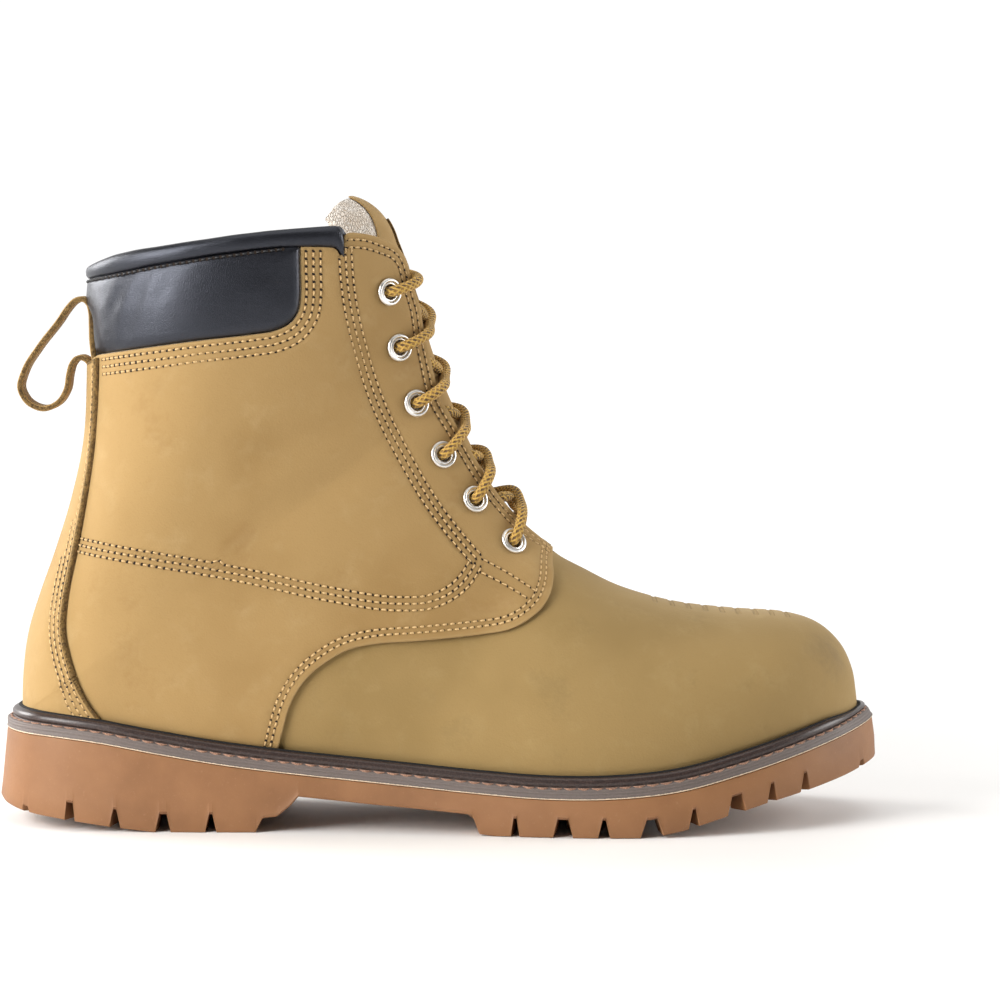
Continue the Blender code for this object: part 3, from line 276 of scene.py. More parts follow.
def nubuck(name, deep, main, pale, shade, raw_edge=0.0):
    leather = Finish(name)
    clouds = leather.mottle(17.0, 3.0)
    patches = leather.mottle(85.0, 4.0, 0.6)
    nap = leather.mottle(1300.0, 3.0, 0.65)
    pores = leather.cells(1500.0)
    blots = leather.mottle(42.0, 5.0, 0.65)
    edge = leather.told("edge")
    colour = leather.blend(deep, main, clouds.step(0.3, 0.56))
    for other, share in [
        (pale, patches.step(0.48, 0.78) * 0.45),
        (shade, blots.step(0.54, 0.72) * 0.4),
        (deep, nap.step(0.5, 0.75) * 0.3),
        (pale, edge.step(1.5, 0.1) * 0.35),
        # painted shade along the stitch rows, where the leather sinks
        (rgb(100, 72, 36), leather.told("seam").step(1.1, 0.0) * 0.3),
        (rgb(112, 94, 66), leather.told("scuff") * blots.step(0.38, 0.62)),
        # painted shade on the walls of the vamp's pressed slots
        (rgb(92, 72, 44), leather.told("groove") * 0.6),
    ]:
        colour = leather.blend(colour, other, share)
    if raw_edge:
        strands = leather.mottle(1000.0, 4.0, 0.7)
        raw = leather.blend(RAW_DARK, RAW_LIGHT, strands.step(0.32, 0.68))
        colour = leather.blend(colour, raw, edge.step(raw_edge + 0.3, raw_edge))
    leather.set(Base_Color=colour, Roughness=0.9 - nap * 0.12, Specular_IOR_Level=0.28,
                Sheen_Weight=0.12, Sheen_Roughness=0.5, Sheen_Tint=rgb(255, 240, 208))
    return leather.bump(nap * 0.55 + pores * 0.25 + patches * 0.6, 0.11)


WHEAT = (rgb(147, 117, 71), rgb(159, 129, 82), rgb(171, 144, 99), rgb(137, 104, 59))
wheat = nubuck("wheat_nubuck", *WHEAT)
wheat_raw = nubuck("wheat_nubuck_raw_edge", *WHEAT, raw_edge=1.1)
tan = nubuck("tan_nubuck", rgb(139, 114, 69), rgb(149, 123, 77), rgb(161, 137, 91), rgb(121, 98, 58))
print("nubuck mixed")

# %% Mix the cut edge and the black leather
cut = Finish("cut_leather_edge")
fibre = cut.mottle(1000.0, 4.0, 0.7)
lumps = cut.mottle(420.0, 2.0)
cut_colour = cut.blend(RAW_DARK, RAW_LIGHT, fibre.step(0.32, 0.68))
cut.set(Base_Color=cut.blend(cut_colour, rgb(70, 49, 22), lumps.step(0.52, 0.7) * 0.6), Roughness=0.93)
cut.bump(fibre, 0.4)

black = Finish("black_grain_leather")
grain = black.cells(1300.0, "DISTANCE_TO_EDGE")
fine = black.mottle(2200.0, 2.0)
folds = black.mottle(70.0, 3.0, 0.6, black.stretched(1.0, 1.0, 2.2))
black.set(Base_Color=black.blend(rgb(8, 8, 10), rgb(20, 20, 24), fine.step(0.35, 0.7)),
          Roughness=0.29 + fine * 0.12, Specular_IOR_Level=0.62, Specular_Tint=rgb(230, 236, 255))
black.bump(grain.step(0.0, 0.16) * 0.22 + fine * 0.12 + folds * 1.1, 0.12)
print("cut edge and black leather mixed")

# %% [markdown]
# ## Cloth, rubber, thread and metal
# The tongue's lining is a beige knit whose small gaps are darkened with painted shade, the lace a gold braid
# with brown flecks and painted shade between its raised yarns, and the sole a slightly cloudy gum rubber with
# painted shade in its grooves. Patterns that follow a piece, such as the braid or the lines of the welt, read
# numbers that the mesh carries along and around, so they need no picture. Threads and felt need only two
# colours and a noise.

# %% Mix the two-coloured finishes
def two_tone(name, dark, light, roughness, clouds, span=(0.0, 0.0), relief=0.0):
    """Two colours mixed by one noise, which also gives the relief; a span makes the change sharper."""
    made = Finish(name)
    share = made.mottle(*clouds)
    colour = made.blend(dark, light, share.step(*span) if any(span) else share)
    made.set(Base_Color=colour, Roughness=roughness)
    return made.bump(share, relief) if relief else made


pale_cut = two_tone("pale_leather_edge", rgb(196, 164, 112), rgb(236, 214, 174), 0.93, (1800.0, 4.0, 0.7),
                    (0.3, 0.65), 0.2)
felt = two_tone("insole_felt", rgb(58, 50, 44), rgb(104, 92, 80), 0.97, (1400.0, 4.0, 0.7), (0.3, 0.7), 0.3)
thread = two_tone("cream_thread", rgb(174, 140, 90), rgb(210, 177, 125), 0.7, (3200.0, 2.0), (0.3, 0.65), 0.1)
# painted shade: the near-black colour of the sunk discs that stand for the needle holes
hole_shade = two_tone("needle_hole_shade", rgb(18, 10, 5), rgb(40, 25, 12), 0.95, (3000.0,))
black_thread = two_tone("black_thread", rgb(12, 12, 13), rgb(40, 39, 42), 0.6, (3200.0, 2.0))
welt_thread = two_tone("salmon_welt_thread", rgb(116, 86, 70), rgb(170, 130, 106), 0.75, (2600.0, 2.0),
                       (0.3, 0.7), 0.15)
print("threads and felt mixed")

# %% Mix the cloths
TURN = 2.0 * math.pi
YARN_PITCH = 1.9
YARNS = 6.0

knit = Finish("beige_knit")
loops = knit.cells(1250.0, "DISTANCE_TO_EDGE", knit.stretched(1.0, 1.0, 0.5))
knit_colour = knit.blend(rgb(230, 217, 202), rgb(250, 243, 234), knit.mottle(260.0, 3.0).step(0.3, 0.7))
# painted shade: the gaps between the loops, where the bump is low, are darkened
knit_colour = knit.blend(rgb(172, 152, 130), knit_colour, loops.step(0.005, 0.08))
knit.set(Base_Color=knit_colour, Roughness=0.95, Sheen_Weight=0.2).bump(loops.step(0.0, 0.25), 0.35)

braid = Finish("gold_brown_braid")
along = braid.told("along") * (TURN / YARN_PITCH)
around = braid.told("around")
turns = around * (TURN * YARNS)
crest = (along + turns).sine().most((along - turns).sine())
dash = (along + turns.sine() * 1.2).sine()
fleck = (around * (TURN * YARNS / 2)).sine().step(0.45, 0.85) * dash.step(-0.4, 0.4)
lint = braid.mottle(2600.0, 2.0)
# painted shade and light: darker between the raised yarns, lighter on their crests
gold = braid.blend(rgb(136, 98, 36), rgb(188, 148, 64), crest.step(-0.2, 0.8))
gold = braid.blend(gold, rgb(212, 178, 100), lint.step(0.55, 0.8) * 0.4)
braid.set(Base_Color=braid.blend(gold, rgb(72, 46, 18), fleck * 0.85), Roughness=0.72, Sheen_Weight=0.15)
braid.bump(crest * 0.5 + lint * 0.15, 0.35)

tape = Finish("zip_tape_weave")
weave = tape.mottle(2400.0, 1.0, 0.5, tape.stretched(1.0, 1.0, 0.35)).step(0.4, 0.6)
tape.set(Base_Color=tape.blend(rgb(20, 15, 11), rgb(52, 41, 31), weave), Roughness=0.85).bump(weave, 0.15)

hooks = Finish("hook_pile")
hook_tips = hooks.cells(1900.0)
# painted light and shade: lighter on the raised hook tips, darker between them
hooks.set(Base_Color=hooks.blend(rgb(30, 29, 30), rgb(8, 8, 9), hook_tips.step(0.2, 0.7)), Roughness=0.8)
hooks.bump(1 - hook_tips, 0.6)
print("cloths mixed")

# %% Mix the rubbers
gum = Finish("gum_rubber")
gum_cloud = gum.mottle(26.0, 4.0, 0.6)
gum_dust = gum.mottle(900.0, 3.0, 0.6)
gum_colour = gum.blend(rgb(127, 87, 54), rgb(144, 101, 65), gum_cloud.step(0.3, 0.68))
gum_colour = gum.blend(gum_colour, rgb(160, 124, 94), gum_dust.step(0.58, 0.8) * 0.35)
# painted shade inside the sole's grooves
gum_colour = gum.blend(gum_colour, rgb(96, 61, 38), gum.told("groove").step(0.0, 1.0) * 0.55)
gum.set(Base_Color=gum_colour, Roughness=0.5 + gum_dust * 0.2, Specular_IOR_Level=0.4)
gum.bump(gum_dust * 0.5 + gum_cloud, 0.08)

welt = Finish("brown_welt_rubber")
level = welt.told("level")
welt_dust = welt.mottle(1500.0, 3.0, 0.6)
lines = (level * (TURN / 1.1)).sine()
# painted shadow: the bead's inner top, where the leather meets it, is made near black and matt
bead_shadow_line = level.step(7.66, 7.72)
strip_share = welt_dust * 0.6 + lines * 0.12 + welt.mottle(60.0, 3.0) * 0.35
strip_colour = welt.blend(rgb(78, 69, 66), rgb(120, 108, 102), strip_share)
bead_colour = welt.blend(rgb(46, 35, 32), rgb(72, 56, 51), welt_dust.step(0.4, 0.75))
bead_colour = welt.blend(bead_colour, rgb(12, 10, 9), bead_shadow_line)
welt_colour = welt.blend(strip_colour, bead_colour, level.step(4.1, 4.5))
welt_colour = welt.blend(rgb(222, 200, 172), welt_colour, (level + welt_dust * 0.6).step(0.72, 0.98))
welt.set(Base_Color=welt_colour, Roughness=0.6 - level.step(4.1, 5.0) * 0.28 + bead_shadow_line * 0.6,
         Specular_IOR_Level=0.5)
welt.bump(lines * level.step(4.3, 4.0) * 0.35 + welt_dust * 0.3, 0.14)
print("rubbers mixed")

# %% Mix the metals
def metal(name, dark, bright, roughness):
    made = Finish(name)
    wear = made.mottle(420.0, 4.0, 0.65)
    fine_wear = made.mottle(2400.0, 2.0)
    made.set(Base_Color=made.blend(dark, bright, wear.step(0.35, 0.65)), Metallic=0.95,
             Roughness=roughness + fine_wear * 0.12)
    return made.bump(fine_wear, 0.02)


nickel = metal("bright_nickel", rgb(228, 226, 222), rgb(240, 239, 237), 0.26)
bronze = metal("aged_bronze", rgb(84, 64, 40), rgb(150, 120, 80), 0.34)
gunmetal = metal("dark_gunmetal", rgb(52, 48, 44), rgb(96, 91, 84), 0.32)
steel = metal("worn_steel", rgb(104, 100, 92), rgb(156, 151, 142), 0.3)
print("metals mixed")

# %% [markdown]
# ## The boot's form
# A last gives a shoe its shape, and here one function does: it takes a station from the toe tip (0) to the
# collar (27), a share from the bottom edge or back seam (0) to the ridge or throat (1), a side and an
# outward offset, all as arrays. Vamp, quarters, backstay, pad and tongue are cut from this one form at
# different offsets, so they lie on each other as the sewn leathers do. The tables are the same ones that
# made the plain solids.

# %% Sizes and the sole
LATERAL = -1
MEDIAL = 1
BOTH = (LATERAL, MEDIAL)

# Driving sizes
MM = 0.001
GAP = 0.3
WALL = 2.2
LEATHER = 1.5
QUARTER_IN = GAP
QUARTER_OUT = GAP + LEATHER
BACKSTAY_IN = QUARTER_OUT + GAP
BACKSTAY_OUT = BACKSTAY_IN + LEATHER
STRIP_TALL = 4.6
LUG_DEPTH = 6.3
LUG_INWARD = 13.0
SOLE_DRAFT = 1.2

# Outline of the outsole on the floor: length along the foot, outer edge, inner edge
SOLE_EDGE = [
    # x, lateral y, medial y
    (-1, 0, 0), (-0.7, -4.2, 4.2), (0.3, -8.4, 8.4), (3, -15, 15), (9.5, -23.6, 23.6),
    (22, -30.8, 30.5), (40, -35.3, 34.8), (65, -37.4, 36.4), (92, -38.2, 36.4),
    (120, -39.4, 36.8), (145, -42.2, 39), (170, -46.6, 43), (195, -51, 47.8),
    (216, -53, 50.8), (238, -52, 51.5), (258, -47.8, 49.8), (275, -41.2, 46.6),
    (291, -31, 40.3), (303, -18.8, 31.2), (310.5, -6.6, 20.8), (313.4, 1.2, 13.6), (314, 7.5, 7.5),
]

# Height of the gum sole's upper edge, where the strip begins
GUM_TOP = [
    (-1, 33), (12, 32.8), (36, 30.8), (58, 27), (81, 23.2), (105, 20.2), (125, 18.2),
    (147, 16.2), (170, 14.3), (193, 13), (216, 13.3), (239, 15.6), (262, 21), (287, 27.8),
    (314.0, 35.2),
]

# Height of the tread: heel bevel, heel flat, breast, arch, forefoot flat, toe spring
TREAD = [
    (-1, 6.6), (10, 5.4), (25, 3.6), (42, 1.5), (56, 0), (92, 0), (94.5, 5), (99.5, 5.6),
    (104, 9.2), (107, 12.6), (131, 10.2), (167.5, 7.3), (170, 0.6), (175, 0), (229, 0),
    (241, 2.4), (256, 6.8), (271, 10.8), (284, 13.6), (300, 17.2), (314, 20.6),
]

# Grooves between the side lugs
GROOVES = [
    # middle, width at the top, width at the tread, share of the depth
    (10.3, 1.6, 2.6, 0.3), (26.7, 2.2, 3.6, 1), (42.8, 1, 3.8, 1), (59.7, 2.4, 5.4, 1), (76.4, 1, 4, 1),
    (182.3, 1, 3, 1), (198.8, 3.6, 6.8, 1), (213, 1, 4.2, 1), (229.6, 3.6, 8, 1), (244.3, 1, 3.8, 1),
    (259.4, 3.4, 6.4, 1), (272.2, 1, 3.6, 1), (284.4, 1, 3.4, 1), (307, 1.2, 2.4, 0.35),
]

print("rows of the sole's outline:", len(SOLE_EDGE))

# %% Sections and seams of the upper
# Sections of the upper, a row per station from toe tip to above the collar. Each section runs from a foot
# point (on the bottom edge, then up the back seam) to a top point (on the vamp, then up the shaft's front).
# inset: bottom edge inside the outsole's outline; bulge: how far the side swells past the bottom edge;
# mid: share of the section's run where it is widest; top: roundness above that; ridge: y of the top;
# rise: how far the section bows upward
STATIONS = [
    # foot x, foot z, top x, top z, inset, bulge, half lat, half med, mid, top, ridge, rise
    (307.2, None, 307.2, 38.4, 6.8, 0, 0, 0, 0.4, 2.00, 7.5, 0),
    (305.6, None, 306.6, 45, 6.8, 0.5, 0, 0, 0.38, 2.10, 7.3, 0),
    (301.5, None, 304.9, 53.5, 6.8, 1, 0, 0, 0.36, 2.20, 7, 0),
    (294.8, None, 300.4, 62, 6.8, 1.5, 0, 0, 0.34, 2.30, 6.6, 0),
    (285.5, None, 292.2, 68.8, 6.8, 1.8, 0, 0, 0.32, 2.35, 6, 0),
    (273, None, 280, 72.4, 6.8, 2, 0, 0, 0.3, 2.35, 5.4, 0),
    (257, None, 262, 73.9, 6.8, 2, 0, 0, 0.28, 2.30, 4.8, 0),
    (238, None, 241, 76.6, 6.8, 2, 0, 0, 0.27, 2.20, 4.2, 0),
    (219, None, 222, 82, 6.8, 2, 0, 0, 0.26, 2.05, 3.6, 0),
    (202, None, 208, 88.8, 6.8, 2.2, 0, 0, 0.26, 1.95, 3, 0),
    (184, None, 198, 94.4, 6.9, 2.5, 42.2, 38.6, 0.27, 1.85, 2.4, 0),
    (162, None, 192.3, 101.4, 7.3, 2.8, 39.4, 35.9, 0.28, 1.80, 1.9, 0),
    (136, None, 187.2, 107.8, 7.7, 3, 36.9, 33.8, 0.295, 1.80, 1.5, 0),
    (107, None, 182.2, 115.3, 8, 3, 36, 33.8, 0.31, 1.85, 1.1, 0),
    (77, None, 177.2, 123.8, 8.2, 3, 35.5, 34.1, 0.32, 1.90, 0.8, 0),
    (50, None, 172.2, 133.8, 8.6, 3, 35.2, 34.3, 0.325, 1.95, 0.5, 0),
    (29, None, 167.5, 143.8, 9.4, 3, 35, 34.4, 0.325, 2.00, 0.3, 0),
    (16, None, 164.7, 150.3, 10.6, 3, 34.9, 34.5, 0.325, 2.00, 0.1, 0),
    (10.6, None, 162.2, 156.3, 11.6, 3, 34.8, 34.6, 0.325, 2.00, 0, 0.3),
    (10.9, 52, 159.7, 163.3, 11.6, 3, 34.7, 34.7, 0.335, 2.05, 0, 0.7),
    (12.9, 66, 157.3, 170.6, 11.6, 3, 34.7, 34.7, 0.35, 2.10, 0, 1.2),
    (17.2, 80, 155.1, 178, 11.6, 3, 35, 35, 0.37, 2.10, 0, 1.8),
    (23.2, 97, 153, 185.1, 11.6, 3, 35.6, 35.6, 0.39, 2.15, 0, 2.5),
    (28.9, 115, 150.9, 191.6, 11.6, 3, 36.4, 36.4, 0.41, 2.20, 0, 3.2),
    (32.9, 134, 149, 197.3, 11.6, 3, 37.3, 37.3, 0.43, 2.20, 0, 3.9),
    (34.3, 155, 147.4, 201.9, 11.6, 3, 38.3, 38.3, 0.45, 2.20, 0, 4.5),
    (34.4, 176, 146, 205.6, 11.6, 3, 39.3, 39.3, 0.46, 2.20, 0, 5),
    (34, 196.6, 144.9, 208.6, 11.6, 3, 40, 40, 0.47, 2.20, 0, 5.2),
    (33.4, 207, 141.5, 220, 11.6, 3, 40.4, 40.4, 0.47, 2.20, 0, 5.2),
]
FOOT_X, FOOT_Z, TOP_X, TOP_Z, INSET, BULGE, HALF_LAT, HALF_MED, MID, TOP, RIDGE, RISE = range(12)
THROAT = 10.0
FOREFOOT_END = 12.0
HEEL = 18.0
COLLAR = 27.0
ARC_SPLIT = 0.35

# Half the opening between the eyestays, by station
THROAT_GAP = [(10, 0), (10.15, 4.2), (10.4, 6.6), (11, 9.2), (13, 11.2), (16, 12.2), (20, 12.8),
              (24, 13.4), (28, 14)]

# Seams of the outer side, seen square from the side: length along the foot, height
QUARTER_FRONT = [(98.8, 24.5), (99.8, 28.4), (101.7, 35.7), (104.5, 45), (109.5, 53.2), (116.8, 59.6),
                 (124.6, 63.9), (134.2, 66), (146.9, 66.8), (161.1, 68), (172.2, 69.3), (181.1, 71),
                 (188.4, 74.8), (193.6, 79.5), (195.9, 84), (196.5, 92.4)]
BACKSTAY_FRONT = [(35.2, 165), (34.4, 144.6), (33.6, 134.1), (30.9, 114.8), (28, 98.1), (24.8, 80.1),
                  (24.1, 71.5), (27, 57.8), (32.4, 46), (38.8, 37)]
EYELETS = [(138.8, 188.1), (142.2, 168.6), (148.1, 149), (157.6, 130.8), (168.8, 115), (182.4, 100.1)]
print("stations:", len(STATIONS))

# %% Curves through the tables
def smooth(table, column, at):
    """Cubic through a short table's column, with parabola slopes; at is a number or an array."""
    knots = np.array([row[0] for row in table], float)
    values = np.array([row[column] for row in table], float)
    step = np.diff(knots)
    rise = np.diff(values) / step
    slope = np.empty_like(values)
    slope[1:-1] = (rise[:-1] * step[1:] + rise[1:] * step[:-1]) / (step[:-1] + step[1:])
    slope[0] = 2 * rise[0] - slope[1]
    slope[-1] = 2 * rise[-1] - slope[-2]
    at = np.asarray(at, float)
    k = np.clip(np.searchsorted(knots, at, side="right") - 1, 0, len(knots) - 2)
    t = (at - knots[k]) / step[k]
    ends = values[k] * (1 + 2 * t) * (1 - t) ** 2 + values[k + 1] * t * t * (3 - 2 * t)
    bends = step[k] * (slope[k] * t * (1 - t) ** 2 - slope[k + 1] * t * t * (1 - t))
    return ends + bends


def line(table, at):
    """Straight runs between a short table's rows."""
    return np.interp(at, [row[0] for row in table], [row[1] for row in table])


def ease(value, low, high):
    """0 below low, 1 above high, smooth between."""
    t = np.clip((np.asarray(value, float) - low) / (high - low), 0.0, 1.0)
    return t * t * (3 - 2 * t)


def run_of(path):
    """Length of a path up to each of its points."""
    return np.concatenate([[0.0], np.cumsum(np.linalg.norm(np.diff(path, axis=0), axis=1))])


def pick(at, run, path):
    """Points of a path where it has these lengths."""
    return np.column_stack([np.interp(at, run, column) for column in np.asarray(path).T])


def bend(table, count=60):
    """More points along a seam, smooth through its own."""
    corner = np.array(table, float)
    run = run_of(corner)
    at = np.linspace(0.0, run[-1], count)
    knots = np.column_stack([run, corner])
    return np.column_stack([smooth(knots, column, at) for column in range(1, knots.shape[1])])


def unit(vectors):
    return vectors / np.maximum(np.linalg.norm(vectors, axis=-1, keepdims=True), 1e-12)


def gum_top(x):
    return smooth(GUM_TOP, 1, np.clip(x, GUM_TOP[0][0], GUM_TOP[-1][0]))


def feather_z(x):
    """Height of the upper's bottom edge, which stands on the strip."""
    return gum_top(x) + STRIP_TALL + GAP


print("gum sole at the heel:", float(gum_top(0.0)), "mm high")

# %% Outline of the sole
FINE = 481
HEEL_X = SOLE_EDGE[0][0]
TOE_X = SOLE_EDGE[-1][0]


def edge_chain(side):
    """Points of the outline on one side, from heel to toe, and their outward normals."""
    corner = [(row[0], row[1 if side == LATERAL else 2]) for row in SOLE_EDGE]
    points = bend(corner, FINE)
    points[0, 1] = corner[0][1]
    along = np.gradient(points, axis=0)
    along[0] = (0.0, side)
    along[-1] = (0.0, -side)
    return points, unit(np.column_stack([-along[:, 1], along[:, 0]]) * side)


CHAIN = {side: edge_chain(side) for side in BOTH}
CENTRE_X = (HEEL_X + TOE_X) / 2
CENTRE_Y = (CHAIN[LATERAL][0][:, 1].min() + CHAIN[MEDIAL][0][:, 1].max()) / 2
CENTRE = np.array([CENTRE_X, CENTRE_Y, 0.0])


def rising(values):
    """The values as a list that never falls, for use as knots."""
    return np.maximum.accumulate(values) + np.arange(len(values)) * 1e-7


def edge_at(side, x, inset):
    """Width and outward normal of the outline moved inward, where it has this length along the foot."""
    points, normal = CHAIN[side]
    moved = points - normal * inset
    order = rising(moved[:, 0])
    return [np.interp(x, order, column) for column in (moved[:, 1], normal[:, 0], normal[:, 1])]


print("sole:", TOE_X - HEEL_X, "mm long")

# %% The upper's form as one function
STATION_TABLE = [(float(k),) + row for k, row in enumerate(STATIONS)]
BACK_TABLE = [(float(k), row[FOOT_X], feather_z(row[FOOT_X]) if row[FOOT_Z] is None else row[FOOT_Z])
              for k, row in enumerate(STATIONS) if k >= HEEL]


def station(column, u):
    return smooth(STATION_TABLE, column + 1, u)


def foot_line(side):
    """Fine chain of foot points and their outward normals, by station."""
    rows = []
    for u in np.linspace(0.0, HEEL, 721):
        x = float(station(FOOT_X, u))
        y, nx, ny = edge_at(side, x, float(station(INSET, u)))
        rows.append((u, x, y, float(feather_z(x)), nx, ny, 0.0))
    for end, y, nx in ((0, STATIONS[0][RIDGE], 1.0), (-1, 0.0, -1.0)):
        rows[end] = rows[end][:2] + (y, rows[end][3], nx, 0.0, 0.0)
    for u in np.linspace(HEEL + 0.02, len(STATIONS) - 1, 240):
        low, high = [np.array([smooth(BACK_TABLE, c, u + d) for c in (1, 2)]) for d in (-0.01, 0.01)]
        turn = unit(high - low)
        x, z = (low + high) / 2
        rows.append((u, x, 0.0, z, -turn[1], 0.0, turn[0]))
    return np.array(rows)


FOOT = {side: foot_line(side) for side in BOTH}


def form(u, v, side, offset=0.0):
    """Points of the upper's form, offset outward; u, v and offset are arrays of one shape, or numbers."""
    u, v, offset = np.broadcast_arrays(np.asarray(u, float), v, offset)
    foot = [np.interp(u, FOOT[side][:, 0], FOOT[side][:, c]) for c in range(1, 7)]
    foot_x, foot_y, foot_z = [foot[c] + offset * foot[c + 3] for c in range(3)]
    step_x, step_z = [station(c, u + 0.02) - station(c, u - 0.02) for c in (TOP_X, TOP_Z)]
    size = np.hypot(step_x, step_z)
    top_x = station(TOP_X, u) + offset * step_z / size
    top_z = station(TOP_Z, u) - offset * step_x / size
    fore_half = side * foot[1] + station(BULGE, u)
    half_table = station(HALF_LAT if side == LATERAL else HALF_MED, u)
    half = fore_half + (half_table - fore_half) * ease(u, FOREFOOT_END - 1, FOREFOOT_END) + offset
    ridge = station(RIDGE, u)
    mid = station(MID, u)
    top = 2.0 / station(TOP, u)
    lower = v <= ARC_SPLIT
    wide = half - side * ridge
    begin = np.arcsin(np.clip((side * (foot_y - ridge)) / np.where(wide > 1e-6, wide, 1.0), -0.9, 0.9999))
    a = begin + (math.pi / 2 - begin) * np.clip(v / ARC_SPLIT, 0.0, 1.0)
    b = np.clip((v - ARC_SPLIT) / (1 - ARC_SPLIT), 0.0, 1.0) * math.pi / 2
    y = ridge + side * wide * np.where(lower, np.sin(a), np.clip(np.cos(b), 0.0, 1.0) ** top)
    run = np.where(lower, mid * (1 - np.cos(a) / np.cos(begin)), mid + (1 - mid) * np.sin(b) ** top)
    x = foot_x + (top_x - foot_x) * run
    z = foot_z + (top_z - foot_z) * run + station(RISE, u) * np.sin(math.pi * run)
    return np.stack([x, y, z], axis=-1)


def top_share(u, side, gap):
    """Place along the half section where it is this far from the ridge."""
    half = np.maximum((form(u, ARC_SPLIT, side)[..., 1] - station(RIDGE, u)) * side, 1.0)
    share = np.clip(gap / half, 0.0, 1.0) ** (station(TOP, u) / 2)
    return ARC_SPLIT + (1 - ARC_SPLIT) * np.arccos(share) / (math.pi / 2)


def throat_share(u, side):
    return np.where(np.asarray(u) <= THROAT, 1.0, top_share(u, side, line(THROAT_GAP, u)))


print("top of the toe:", form(6.0, 1.0, MEDIAL).round(1), "mm")

# %% [markdown]
# ## From points to pieces
# Each piece is a closed mesh made from arrays of points. A few helpers are enough: one makes the object,
# its finishes and what it stands for, one closes two nets of points into a sheet with a real thickness, and
# the others close a row of rings into a tube and join small meshes into one.

# %% Make a piece
def piece(name, mesh, finishes, slot, *nodes, body="boot", sharp=48.0, fill=None):
    """Object from points in millimetres, faces, each face's finish and the numbers that the points carry.

    It rides on a body and stands for these solids; the slot and the fill are not used.
    """
    points, faces, tags, told = tuple(mesh) + (None,) * (4 - len(mesh))
    data = bpy.data.meshes.new(name)
    data.from_pydata(((np.asarray(points, float).reshape(-1, 3) - CENTRE) * MM).tolist(), [], faces)
    for finish in finishes:
        data.materials.append(finish.material)
    if tags is not None:
        data.polygons.foreach_set("material_index", np.asarray(tags, np.int32))
    for key, values in (told or {}).items():
        layer = data.attributes.new(key, "FLOAT", "POINT")
        layer.data.foreach_set("value", np.asarray(values, np.float32))
    work = bmesh.new()
    work.from_mesh(data)
    bmesh.ops.remove_doubles(work, verts=work.verts, dist=1e-6)
    bmesh.ops.recalc_face_normals(work, faces=work.faces)
    work.to_mesh(data)
    work.free()
    data.polygons.foreach_set("use_smooth", np.ones(len(data.polygons), bool))
    data.set_sharp_from_angle(angle=math.radians(sharp))
    made = bpy.data.objects.new(name, data)
    scene.collection.objects.link(made)
    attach(made, body)
    if nodes:
        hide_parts(*nodes)
    print(name, "with", len(data.polygons), "faces")


print("pieces stand around", CENTRE.round(2), "mm")

# %% Close sheets and tubes
# What a point carries away from every edge, seam, scuff and groove
PLAIN_TOLD = {"edge": FAR_MM, "seam": FAR_MM, "scuff": 0.0, "groove": 0.0}


def sheet_mesh(outer, inner, told=None, slit=None):
    """Closed sheet between two nets; equal points of the outer net are one, and a slit column stays open."""
    flat = outer.reshape(-1, 3)
    _, ids = np.unique(np.round(flat, 4), axis=0, return_inverse=True)
    ids = ids.reshape(-1)
    count = ids.max() + 1
    share = np.bincount(ids, minlength=count)

    def pooled(values):
        total = np.zeros((count,) + values.shape[1:])
        np.add.at(total, ids, values)
        return total / share.reshape((-1,) + (1,) * (values.ndim - 1))

    points = np.concatenate([pooled(flat), pooled(inner.reshape(-1, 3))])
    carried = {key: np.append(pooled(values.reshape(-1)), np.full(count, PLAIN_TOLD[key]))
               for key, values in (told or {}).items()}
    net = ids.reshape(outer.shape[:2])
    faces, tags, edges = [], [], {}
    if slit is not None:
        net = np.insert(net, slit + 1, -1, axis=1)
    for a, b, c, d in zip(net[:-1, :-1].flat, net[:-1, 1:].flat, net[1:, 1:].flat, net[1:, :-1].flat):
        ring = [int(p) for p, before in ((a, d), (b, a), (c, b), (d, c)) if p != before]
        if min(a, b, c, d) < 0 or len(set(ring)) < 3:
            continue
        faces += [ring, [p + count for p in reversed(ring)]]
        tags += [0, 1]
        for k, p in enumerate(ring):
            edges.setdefault(tuple(sorted((ring[k - 1], p))), []).append((ring[k - 1], p))
    for pairs in edges.values():
        if len(pairs) == 1:
            a, b = pairs[0]
            faces.append([b, a, a + count, b + count])
            tags.append(2)
    return points, faces, tags, carried


def leather_told(shape):
    """Numbers of a leather piece with no edge, seam or scuff in sight."""
    return {key: np.full(shape, PLAIN_TOLD[key]) for key in ("edge", "seam", "scuff")}


def tube_mesh(rings, capped=True):
    """Points and faces of a tube through rings of equal count."""
    rings = np.asarray(rings)
    count, around = rings.shape[:2]
    step = [(k, (k + 1) % around) for k in range(around)]
    faces = [[r * around + k, r * around + n, (r + 1) * around + n, (r + 1) * around + k]
             for r in range(count - 1) for k, n in step]
    if capped:
        faces += [list(range(around))[::-1], list(range((count - 1) * around, count * around))]
    return rings.reshape(-1, 3), faces


def quads(low, high):
    """Faces between rows of point numbers."""
    corners = [low[..., :-1], low[..., 1:], high[..., 1:], high[..., :-1]]
    return np.stack(corners, axis=-1).reshape(-1, 4).tolist()


def joined(parts):
    """Points and faces of many small meshes as one."""
    points, faces, shift = [], [], 0
    for p, f in parts:
        points.append(np.asarray(p))
        faces += [[i + shift for i in face] for face in f]
        shift += len(p)
    return np.concatenate(points), faces


def round_angles(parts):
    return np.arange(parts) * TURN / parts


def wobble(points, size, depth):
    """Soft hand-made unevenness: a cloudy offset in millimetres."""
    return depth * np.array([noise.noise(Vector(p) / size) for p in np.asarray(points).reshape(-1, 3)])


print("mesh helpers ready")

